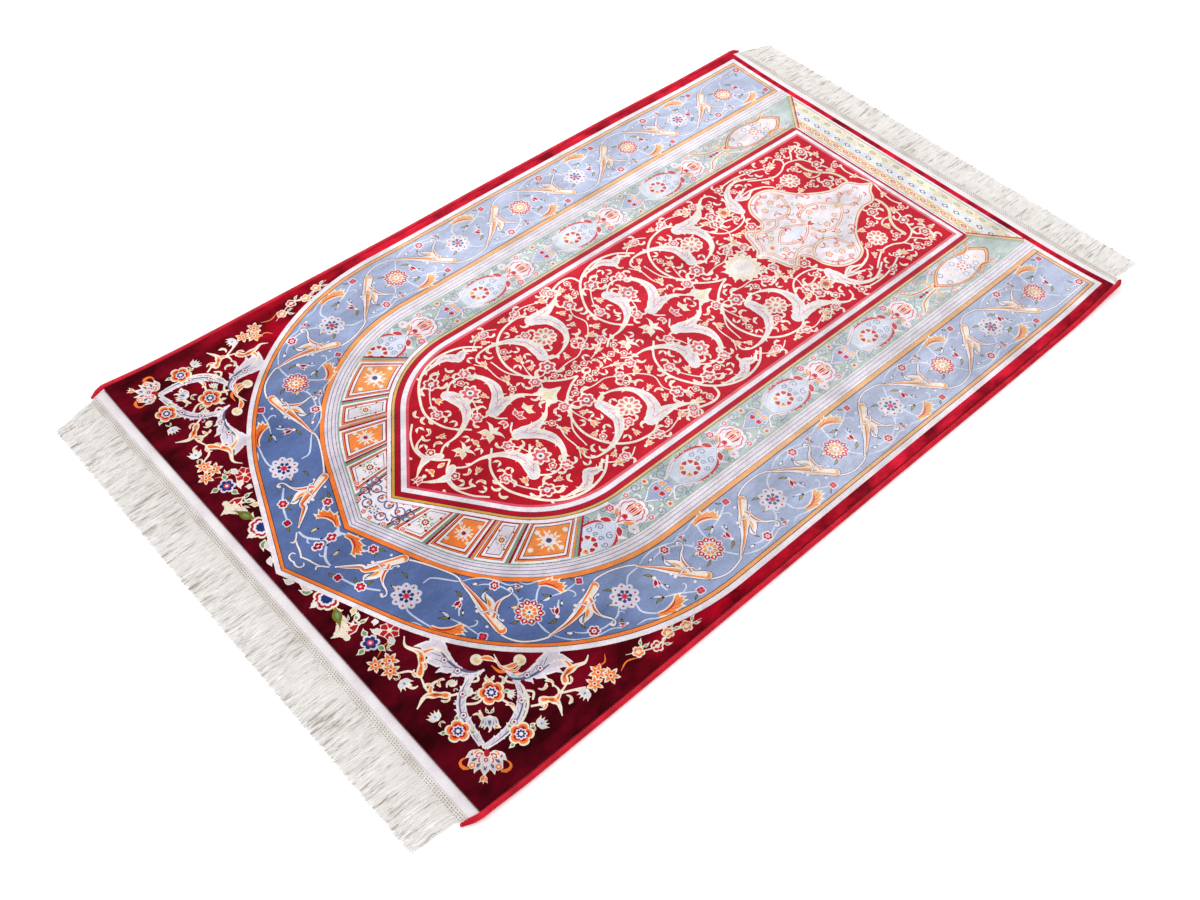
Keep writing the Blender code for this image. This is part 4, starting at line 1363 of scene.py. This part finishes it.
weave = {"longest": 18.0, "edge": 1.6, "edgeDrop": 0.9, "cornerGrid": 13.0, "cornerRows": 10, "axisSteps": 60,
         "overMiddle": 12.0, "shoulder": 0.6, "top": 0.005, "ground": 0.0044, "bakeSide": 1.08}


def split(outline):
    made = []
    for k, p in enumerate(outline):
        step = outline[(k + 1) % len(outline)] - p
        pieces = max(1, math.ceil(abs(step) / weave["longest"]))
        made += [p + step * i / pieces for i in range(pieces)]
    return made


def pileTop(x, y):
    inset = min(layout["half"] - abs(x), y, layout["long"] - y)
    drop = weave["edgeDrop"] * (1 - min(max(inset, 0), weave["edge"]) / weave["edge"]) ** 2
    return weave["top"] - drop / 1000


def weaveHalf():
    points, faces, notes, zoneFace = [], [], [], {}
    half, long, over = layout["half"], layout["long"], -weave["overMiddle"]
    for less in (0.0, weave["shoulder"], weave["edge"]):
        drawn.insert(0, ("ground", [complex(over, less), complex(half - less, less), complex(half - less, long - less),
                                    complex(over, long - less)], None))
    for yarn, outline, zone in drawn:
        turned = sum((a.conjugate() * b).imag for a, b in zip(outline, outline[1:] + outline[:1]))
        outline = outline if turned > 0 else outline[::-1]
        # the triangulation fills a shape from its first edge
        lowest = min(range(len(outline)), key=lambda k: (outline[k].imag, outline[k].real))
        outline = split(outline[lowest:] + outline[:lowest])
        if zone and zone not in zoneFace:
            zoneFace[zone] = len(faces)
        faces.append(list(range(len(points), len(points) + len(outline))))
        notes.append((yarn, zone))
        points += [Vector((p.real, p.imag)) for p in outline]
    step, steps = weave["cornerGrid"], weave["axisSteps"]
    for i in range(1, weave["cornerRows"] + 1):
        for j in range(1, weave["cornerRows"] + 1):
            points += [Vector((half - i * step, y)) for y in (j * step, long - j * step)]
    edges = [(len(points) + i, len(points) + i + 1) for i in range(steps)]
    points += [Vector((0.0, long * i / steps)) for i in range(steps + 1)]
    corners, _, triangles, _, _, covers = delaunay_2d_cdt(points, edges, faces, 1, 1e-4, True)
    kept = {}
    for triangle, over in zip(triangles, covers):
        middle = sum((corners[i] for i in triangle), Vector((0, 0))) / 3
        if middle.x < 0 or middle.x > half or middle.y < 0 or middle.y > long:
            continue
        over = set(over)
        best = max((f for f in over if notes[f][1] is None or zoneFace[notes[f][1]] in over), default=None)
        if best is not None:
            kept.setdefault(notes[best][0], []).append(triangle)
    return corners, kept


def layPile():
    corners, kept = weaveHalf()
    pieces = []
    for yarn, shades in yarns.items():
        if yarn not in kept:
            continue
        index, points, faces = {}, [], []
        for side in (1, -1):
            for triangle in kept[yarn]:
                face = []
                for i in triangle:
                    x, y = corners[i]
                    key = (i, 0 if x < 1e-4 else side)
                    if key not in index:
                        index[key] = len(points)
                        yWorld = y / 1000 - halfPile
                        xWorld = x / layout["half"] * clothX(side, yWorld)
                        points.append((xWorld, yWorld, pileTop(x, y) + curl(xWorld, yWorld)))
                    face.append(index[key])
                faces.append(face[::side])
        piece = asMesh("pile" + yarn.capitalize(), points, faces, silkPile(yarn, shades))
        flatMap = piece.data.uv_layers.new(name="OFBake")
        where = []
        for loop in piece.data.loops:
            where += [0.5 + v / weave["bakeSide"] for v in piece.data.vertices[loop.vertex_index].co[:2]]
        flatMap.data.foreach_set("uv", where)
        pieces.append(finished(piece))
        print(" ", piece.name, len(faces), "faces")
    return pieces


drawRug()
pilePieces = layPile()
print("pile woven:", len(drawn), "shapes")


# ---- the foundation that the pile stands on, closed all round

back = {"columns": 56, "rows": 88, "crowding": 0.55, "warp": 0.0024, "weft": 0.0020, "colours": ("#6E1420", "#C05A60"),
        "ribBump": 0.5, "ribRise": 0.0003, "roughness": 0.85, "underEdge": 0.0001}


# cotton warp and weft with the dyed pile yarn showing through: a flat, dry, finely ribbed red-brown
def ribbedCotton():
    made, tree, shader = newMaterial("wovenCottonBack")
    node = wiring(tree)
    place = addNode(tree, "ShaderNodeTexCoord").outputs["Object"]
    warp, weft = (addNode(tree, "ShaderNodeTexWave", {"Vector": place, "Scale": 1 / back[key] / math.tau * 2,
                                                      "Distortion": 1.5, "Detail": 1.0}, bands_direction=way).outputs[1]
                  for key, way in (("warp", "X"), ("weft", "Y")))
    ribs = node("ShaderNodeMath", {0: warp, 1: weft}, operation="MULTIPLY")
    feed(tree, shader, {
        "Base Color": twoTone(tree, ribs, *back["colours"]),
        "Normal": node("ShaderNodeBump", {"Height": ribs, "Strength": back["ribBump"], "Distance": back["ribRise"]}),
        "Roughness": back["roughness"]})
    return made


# columns or rows from -1 to 1, closer together towards the edges, with one more line where the pile starts
def gridLines(count, half):
    lip = weave["edge"] / 1000 / half
    steps = [2 * i / count - 1 for i in range(count + 1)]
    inner = [t * (1 + back["crowding"] * (1 - t * t) / 2) for t in steps]
    return [-1.0, -1 + lip] + [v for v in inner if abs(v) < 1 - 1.5 * lip] + [1 - lip, 1.0]


def layFoundation():
    xs, ys = gridLines(back["columns"], halfWidth), gridLines(back["rows"], halfPile)
    lastI, lastJ = len(xs) - 1, len(ys) - 1
    rimTop = weave["top"] - weave["edgeDrop"] / 1000 - back["underEdge"]
    bm = bmesh.new()
    bottom, top = {}, {}
    for i, u in enumerate(xs):
        for j, v in enumerate(ys):
            y = halfPile * v
            left, right = clothX(-1, y), clothX(1, y)
            x = left + (right - left) * (u + 1) / 2
            base = curl(x, y)
            bottom[i, j] = bm.verts.new((x, y, base))
            top[i, j] = bm.verts.new((x, y, base + (rimTop if i in (0, lastI) or j in (0, lastJ) else weave["ground"])))

    def wall(low, high, a, b):
        bm.faces.new((low[a], low[b], high[b], high[a]))

    for i in range(lastI):
        for j in range(lastJ):
            bm.faces.new((top[i, j], top[i + 1, j], top[i + 1, j + 1], top[i, j + 1]))
            bm.faces.new((bottom[i, j + 1], bottom[i + 1, j + 1], bottom[i + 1, j], bottom[i, j]))
    for i in range(lastI):
        wall(bottom, top, (i, 0), (i + 1, 0))
        wall(top, bottom, (i, lastJ), (i + 1, lastJ))
    for j in range(lastJ):
        wall(top, bottom, (0, j), (0, j + 1))
        wall(bottom, top, (lastI, j), (lastI, j + 1))
    mesh = bpy.data.meshes.new("pileFoundation")
    bm.to_mesh(mesh)
    bm.free()
    mesh.materials.append(ribbedCotton())
    piece = finished(linked("pileFoundation", mesh))
    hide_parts("rug_pile")
    return piece


foundation = layFoundation()
print("foundation laid")


# ---- trims along the sides and ends

binding = {"pitch": 0.00135, "yarn": 0.0015, "lean": 0.0011, "sides": 12, "core": 0.86, "coreSides": 10,
           "stations": 120, "tailShrink": 0.38, "colour": ("#AC0A22", "#EE2440"), "roughness": 0.4, "gloss": 0.16,
           # how far along a tail, and the height there as a share of the binding's
           "tail": ((1.0, 0.62), (0.85, 0.85), (0.55, 0.97), (0.25, 1.0))}


# spun yarn: dry and matt, its plies showing as fine flecks; the paler flecks are painted highlights, where the light
# would rake across the strands
def yarnMaterial(name, dark, light, grain, stretch=1.0, patch=1.0, spread=(0.7, 1.3), roughness=0.8, gloss=0.08):
    made, tree, shader = newMaterial(name)
    node = wiring(tree)
    place = addNode(tree, "ShaderNodeTexCoord").outputs["Object"]
    drawnOut = node("ShaderNodeMapping", {"Vector": place, "Scale": (1.0, 1 / stretch, 1.0)})
    fleck = node("ShaderNodeTexNoise", {"Vector": drawnOut, "Scale": 1 / grain, "Detail": 2.0, "Roughness": 0.6})
    broad = node("ShaderNodeTexNoise", {"Vector": place, "Scale": 1 / (grain * 30), "Detail": 2.0, "Roughness": 0.5})
    mixed = node("ShaderNodeMath", {0: broad, 1: patch, 2: fleck}, operation="MULTIPLY_ADD")
    share = node("ShaderNodeMapRange", {0: mixed, 1: spread[0], 2: spread[1]})
    feed(tree, shader, {
        "Base Color": twoTone(tree, share, dark, light),
        "Normal": node("ShaderNodeBump", {"Height": fleck, "Strength": 0.4, "Distance": 0.0003}),
        "Roughness": roughness, "Specular IOR Level": gloss})
    return made


# a tree that grows geometry on a path or on points, with its named sizes
def openTree(name, *sizes):
    tree = bpy.data.node_groups.new(name, "GeometryNodeTree")
    tree.interface.new_socket("Geometry", in_out="INPUT", socket_type="NodeSocketGeometry")
    for size in sizes:
        kind = "NodeSocketInt" if size == "Seed" else "NodeSocketFloat"
        tree.interface.new_socket(size, in_out="INPUT", socket_type=kind)
    tree.interface.new_socket("Geometry", in_out="OUTPUT", socket_type="NodeSocketGeometry")
    return tree, wiring(tree), addNode(tree, "NodeGroupInput").outputs


def closeTree(tree, shape, finish, smoothShade):
    coated = addNode(tree, "GeometryNodeSetMaterial", {0: shape, "Material": finish}).outputs[0]
    if smoothShade:
        coated = addNode(tree, "GeometryNodeSetShadeSmooth", {0: coated}).outputs[0]
    tree.links.new(coated, addNode(tree, "NodeGroupOutput").inputs[0])
    return tree


def wrapTree(finish):
    tree, node, given = openTree("overcastWraps", "Wrap pitch", "Wrap width", "Wrap height", "Wrap lean", "Yarn radius")
    path = node("GeometryNodeMeshToCurve", {0: given["Geometry"]})
    spaced = node("GeometryNodeResampleCurve", {"Curve": path, "Length": given["Wrap pitch"]}, mode="LENGTH")
    ring = node("GeometryNodeCurvePrimitiveCircle", {"Resolution": binding["sides"], "Radius": 1.0})
    flat = node("ShaderNodeCombineXYZ", {0: given["Wrap width"], 1: given["Wrap height"], 2: 1.0})
    oval = node("GeometryNodeTransform", {0: ring, "Scale": flat})
    across = addNode(tree, "ShaderNodeSeparateXYZ", {0: node("GeometryNodeInputPosition")}).outputs["Y"]
    leaned = node("ShaderNodeMath", {0: across, 1: given["Wrap lean"]}, operation="MULTIPLY")
    slanted = node("GeometryNodeSetPosition", {0: oval, "Offset": node("ShaderNodeCombineXYZ", {2: leaned})})
    strand = node("GeometryNodeCurvePrimitiveCircle", {"Resolution": 4, "Radius": given["Yarn radius"]})
    wrap = node("GeometryNodeCurveToMesh", {0: slanted, 1: strand})
    turn = node("FunctionNodeAlignRotationToVector", {"Vector": node("GeometryNodeInputTangent")}, axis="Z")
    copies = node("GeometryNodeInstanceOnPoints", {"Points": spaced, "Instance": wrap, "Rotation": turn})
    return closeTree(tree, node("GeometryNodeRealizeInstances", {0: copies}), finish, True)


def grown(name, points, edges, tree, sizes):
    mesh = bpy.data.meshes.new(name + "Path")
    mesh.from_pydata(points, edges, [])
    holder = linked(name + "Path", mesh)
    grow = holder.modifiers.new("grow", "NODES")
    grow.node_group = tree
    for item in tree.interface.items_tree:
        if item.in_out == "INPUT" and item.name in sizes:
            grow[item.identifier] = sizes[item.name]
    made = bpy.data.meshes.new_from_object(holder.evaluated_get(bpy.context.evaluated_depsgraph_get()))
    made.name = name
    bpy.data.objects.remove(holder)
    # the faces point at the second slot, because the bare path takes the first
    finish = made.materials[-1]
    made.materials.clear()
    made.materials.append(finish)
    for face in made.polygons:
        face.material_index = 0
    return made


def bindingStations(side):
    near, far = (cornerOf(side, end)[3] for end in (-1, 1))
    count = binding["stations"]
    made = [(-halfPile - near * reach, share) for reach, share in binding["tail"]]
    made += [(-halfPile + rug["pile"] * i / count, 1.0) for i in range(count + 1)]
    return made + [(halfPile + far * reach, share) for reach, share in reversed(binding["tail"])]


# a core inside the wraps, so that nothing shows through between them
def addCore(bm, stations, path):
    sides = binding["coreSides"]
    rings = []
    for (y, share), (x, _, z) in zip(stations, path):
        rings.append([bm.verts.new((x + math.cos(a) * share * rug["bindingWidth"] / 2 * binding["core"], y,
                                    z + math.sin(a) * share * rug["bindingHeight"] / 2 * binding["core"]))
                      for a in (2 * math.pi * k / sides for k in range(sides))])
    for a, b in zip(rings, rings[1:]):
        for k in range(sides):
            bm.faces.new((a[k], a[(k + 1) % sides], b[(k + 1) % sides], b[k]))
    bm.faces.new(rings[0])
    bm.faces.new(rings[-1][::-1])


# the last wraps shrink towards each tail's tip
def shrinkTails(bm, side):
    for vert in bm.verts:
        beyond = abs(vert.co.y) - halfPile
        if beyond > 0:
            tail = cornerOf(side, 1 if vert.co.y > 0 else -1)[3]
            share = 1 - binding["tailShrink"] * smooth((beyond / tail - 0.5) * 2)
            x = bindingX(side, vert.co.y)
            base = curl(x, vert.co.y)
            vert.co.x = x + (vert.co.x - x) * share
            vert.co.z = base + (vert.co.z - base) * share


def sewBindings():
    # rayon: the same yarn with a silky gloss, so each wrap catches a small light
    finish = yarnMaterial("overcastRayonYarn", *binding["colour"], 0.0006, roughness=binding["roughness"],
                          gloss=binding["gloss"])
    tree = wrapTree(finish)
    radius = binding["yarn"] / 2
    made = []
    for name, solid, side in (("bindingLeft", "side_binding_left", -1), ("bindingRight", "side_binding_right", 1)):
        stations = bindingStations(side)
        path = []
        for y, share in stations:
            x = bindingX(side, y)
            path.append((x, y, curl(x, y) + share * rug["bindingHeight"] / 2))
        sizes = {"Wrap pitch": binding["pitch"], "Wrap width": rug["bindingWidth"] / 2 - radius,
                 "Wrap height": rug["bindingHeight"] / 2 - radius,
                 "Wrap lean": side * binding["lean"] / rug["bindingHeight"] * 2, "Yarn radius": radius}
        mesh = grown(name, path, [(i, i + 1) for i in range(len(path) - 1)], tree, sizes)
        bm = bmesh.new()
        bm.from_mesh(mesh)
        addCore(bm, stations, path)
        shrinkTails(bm, side)
        bmesh.ops.recalc_face_normals(bm, faces=bm.faces)
        bm.to_mesh(mesh)
        bm.free()
        piece = finished(linked(name, mesh))
        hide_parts(solid)
        made.append(piece)
        print(" ", name, len(mesh.polygons), "faces")
    return made


trim = {
    "tape": 0.0115, "tapeHeight": 0.0017, "net": 0.0100, "netHeight": 0.0008, "columns": 160, "stitchPitch": 0.0022,
    "stitchRows": (0.0012, 0.0036, 0.0060, 0.0084), "gapPitch": 0.0033, "gapRows": (0.0022, 0.0047, 0.0072),
    # length, width and rise of one stitch, and of one gap
    "stitch": (0.0032, 0.0017, 0.0), "gap": (0.0017, 0.0008, 0.0006), "stitchSlant": 34,
    "strands": 620, "layers": 2, "strandRadius": 0.00042, "strandPoints": 9, "wave": 0.0013, "pileUp": 0.0012,
    # how far the strands start inside the net, and the height of the first layer and of each next one
    "tuck": 0.0008, "lift": 0.0006, "layerLift": 0.0007,
    # end, lean at the left, in the middle, at the right, seed
    "lean": ((-1, 0.0110, 0.0010, -0.0030, 11), (1, 0.0120, -0.0020, 0.0015, 23)),
    # the heading's section: share of its width, share of its height
    "section": ((0.0, 0.0), (0.0, 0.55), (0.05, 0.9), (0.14, 1.0), (0.5, 0.96), (0.86, 1.0), (0.95, 0.9), (1.0, 0.55),
                (1.0, 0.0)),
}


def clothPoint(across, out, end, height=0.0):
    y = end * (halfPile + out)
    left, right = clothX(-1, y), clothX(1, y)
    x = left + (right - left) * across
    return Vector((x, y, curl(x, y) + height))


def leanOf(row, across):
    _, left, middle, right, _ = row
    if across < 0.5:
        return left + (middle - left) * smooth(across / 0.3)
    return middle + (right - middle) * smooth((across - 0.7) / 0.3)


def strip(name, end, start, width, height, finish):
    section, columns = trim["section"], trim["columns"]
    n = len(section)
    points = [tuple(clothPoint(i / columns, start + width * out, end, height * up))
              for i in range(columns + 1) for out, up in section]
    faces = [(i * n + k, i * n + (k + 1) % n, (i + 1) * n + (k + 1) % n, (i + 1) * n + k)
             for i in range(columns) for k in range(n)]
    faces += [tuple(range(n)), tuple(columns * n + k for k in reversed(range(n)))]
    piece = asMesh(name, points, faces, finish)
    bm = bmesh.new()
    bm.from_mesh(piece.data)
    bmesh.ops.recalc_face_normals(bm, faces=bm.faces)
    bm.to_mesh(piece.data)
    bm.free()
    return finished(piece)


def fringeTree(finish):
    tree, node, given = openTree("looseStrands", "Strand length", "Strand radius", "Wave", "Pile up", "Seed")

    def scale(operation, one, other):
        return node("ShaderNodeVectorMath", {0: one, 1: other}, operation=operation)

    straight = node("GeometryNodeCurvePrimitiveLine", {"Start": (0, 0, 0), "End": (0, 1, 0)})
    strand = node("GeometryNodeResampleCurve", {"Curve": straight, "Count": trim["strandPoints"]})
    reach = addNode(tree, "FunctionNodeRandomValue", {2: 0.93, 3: 1.0, "Seed": given["Seed"]}).outputs[1]
    long = node("ShaderNodeMath", {0: reach, 1: given["Strand length"]}, operation="MULTIPLY")
    size = node("ShaderNodeCombineXYZ", {0: 1.0, 1: long, 2: 1.0})
    copies = node("GeometryNodeInstanceOnPoints", {"Points": given["Geometry"], "Instance": strand, "Scale": size})
    real = node("GeometryNodeRealizeInstances", {0: copies})
    share = addNode(tree, "GeometryNodeSplineParameter").outputs["Factor"]
    stretched = scale("MULTIPLY", node("GeometryNodeInputPosition"), (260.0, 75.0, 1.0))
    moved = scale("ADD", stretched, node("ShaderNodeCombineXYZ", {2: given["Seed"]}))
    waves = addNode(tree, "ShaderNodeTexNoise", {"Vector": moved, "Scale": 1.0, "Detail": 1.0}).outputs["Color"]
    wide = node("ShaderNodeCombineXYZ", {0: given["Wave"], 1: 0.0, 2: given["Pile up"]})
    offset = scale("MULTIPLY", scale("SUBTRACT", waves, (0.5, 0.5, 0.5)), wide)
    growing = node("ShaderNodeMapRange", {0: share, 1: 0.0, 2: 0.5, 3: 0.25, 4: 2.0})
    scaled = node("ShaderNodeVectorMath", {0: offset, "Scale": growing}, operation="SCALE")
    waved = node("GeometryNodeSetPosition", {0: real, "Offset": scaled})
    profile = node("GeometryNodeCurvePrimitiveCircle", {"Resolution": 4, "Radius": given["Strand radius"]})
    tubes = node("GeometryNodeCurveToMesh", {0: waved, 1: profile, "Fill Caps": True})
    return closeTree(tree, tubes, finish, False)


def stitchTree(finish):
    tree, node, given = openTree("chainStitches", "Stitch length", "Stitch width", "Slant")
    bead = node("GeometryNodeMeshUVSphere", {"Segments": 6, "Rings": 4, "Radius": 0.5})
    size = node("ShaderNodeCombineXYZ", {0: given["Stitch width"], 1: given["Stitch length"], 2: given["Stitch width"]})
    turn = node("ShaderNodeCombineXYZ", {2: given["Slant"]})
    copies = node("GeometryNodeInstanceOnPoints",
                  {"Points": given["Geometry"], "Instance": bead, "Scale": size, "Rotation": turn})
    return closeTree(tree, node("GeometryNodeRealizeInstances", {0: copies}), finish, True)


def fromBmesh(name, bm, finish):
    mesh = bpy.data.meshes.new(name)
    bm.to_mesh(mesh)
    bm.free()
    mesh.materials.append(finish)
    return finished(linked(name, mesh))


# rows of slanted beads over the net: its stitches, or beads of painted shade for the small gaps that show between them
def beadRows(name, end, start, rows, pitch, bead, finish, tree):
    long, wide, rise = bead
    count = int(rug["width"] / pitch)
    bm = bmesh.new()
    for index, out in enumerate(rows):
        odd = index % 2
        points = [tuple(clothPoint((k + 0.25 + 0.5 * odd) / count, start + out, end, trim["netHeight"] + rise))
                  for k in range(count)]
        slant = math.radians(trim["stitchSlant"] if odd else -trim["stitchSlant"]) * end
        bm.from_mesh(grown(name, points, [], tree, {"Stitch length": long, "Stitch width": wide, "Slant": slant}))
    return fromBmesh(name, bm, finish)


def looseStrands(name, row, finish, tree):
    end, seed = row[0], row[4]
    chance = random.Random(seed)
    start = rug["sewnGap"] + rug["heading"] - trim["tuck"]
    count = trim["strands"]
    bm = bmesh.new()
    for layer in range(trim["layers"]):
        points = [((k + 0.5 + chance.uniform(-0.4, 0.4)) / count * rug["width"] - halfWidth, 0, 0)
                  for k in range(count)]
        sizes = {"Strand length": rug["fringe"] + trim["lift"], "Strand radius": trim["strandRadius"],
                 "Wave": trim["wave"] * 2, "Pile up": trim["pileUp"], "Seed": seed + layer}
        mesh = grown(name, points, [], tree, sizes)
        for vert in mesh.vertices:
            across = min(max(vert.co.x / rug["width"] + 0.5, 0.0), 1.0)
            out = max(vert.co.y, 0.0)
            share = min(out / rug["fringe"], 1.0)
            lift = trim["lift"] + trim["layerLift"] * layer + vert.co.z
            x, y, base = clothPoint(across, start + out, end)
            x += leanOf(row, across) * smooth(share * 0.9 + 0.05 * share)
            vert.co = (x, y, max(base * (1 - smooth(share)) + lift * (1 - 0.35 * share), 0.0001))
        bm.from_mesh(mesh)
    bmesh.ops.recalc_face_normals(bm, faces=bm.faces)
    return fromBmesh(name, bm, finish)


def sewFringes():
    # bleached cotton: a smooth close tape, a knotted net whose gaps are grey-brown beads of painted shade, and creamy
    # unspun strands
    tapeFinish = yarnMaterial("wovenCottonTape", "#E2D9DE", "#FBF6F9", 0.0012)
    # the strands' darker streaks are partly their own grey tone and partly painted shade between clumps of strands
    strandFinish = yarnMaterial("looseCottonStrands", "#C4B9AF", "#FFFCF9", 0.0022, 12.0, 0.25, (0.44, 0.58))
    knotFinish = yarnMaterial("knottedCottonNet", "#DDD4CC", "#FFFEFC", 0.0010)
    gapShadeFinish = yarnMaterial("netGapShade", "#7C7266", "#A89E90", 0.0014)
    strands, stitches, gaps = fringeTree(strandFinish), stitchTree(knotFinish), stitchTree(gapShadeFinish)
    made = []
    for row, name, solid in zip(trim["lean"], ("Near", "Far"), ("fringe_near", "fringe_far")):
        end, start = row[0], rug["sewnGap"] + trim["tape"]
        made += [strip("tape" + name, end, rug["sewnGap"], trim["tape"], trim["tapeHeight"], tapeFinish),
                 strip("netBack" + name, end, start, trim["net"], trim["netHeight"], knotFinish),
                 beadRows("netStitches" + name, end, start, trim["stitchRows"], trim["stitchPitch"], trim["stitch"],
                          knotFinish, stitches),
                 beadRows("netGapShade" + name, end, start, trim["gapRows"], trim["gapPitch"], trim["gap"],
                          gapShadeFinish, gaps)]
        piece = looseStrands("fringe" + name, row, strandFinish, strands)
        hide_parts(solid)
        made.append(piece)
        print(" ", piece.name, len(piece.data.polygons), "faces")
    return made


bindings = sewBindings()
print("bindings sewn")
fringes = sewFringes()
print("fringes sewn")
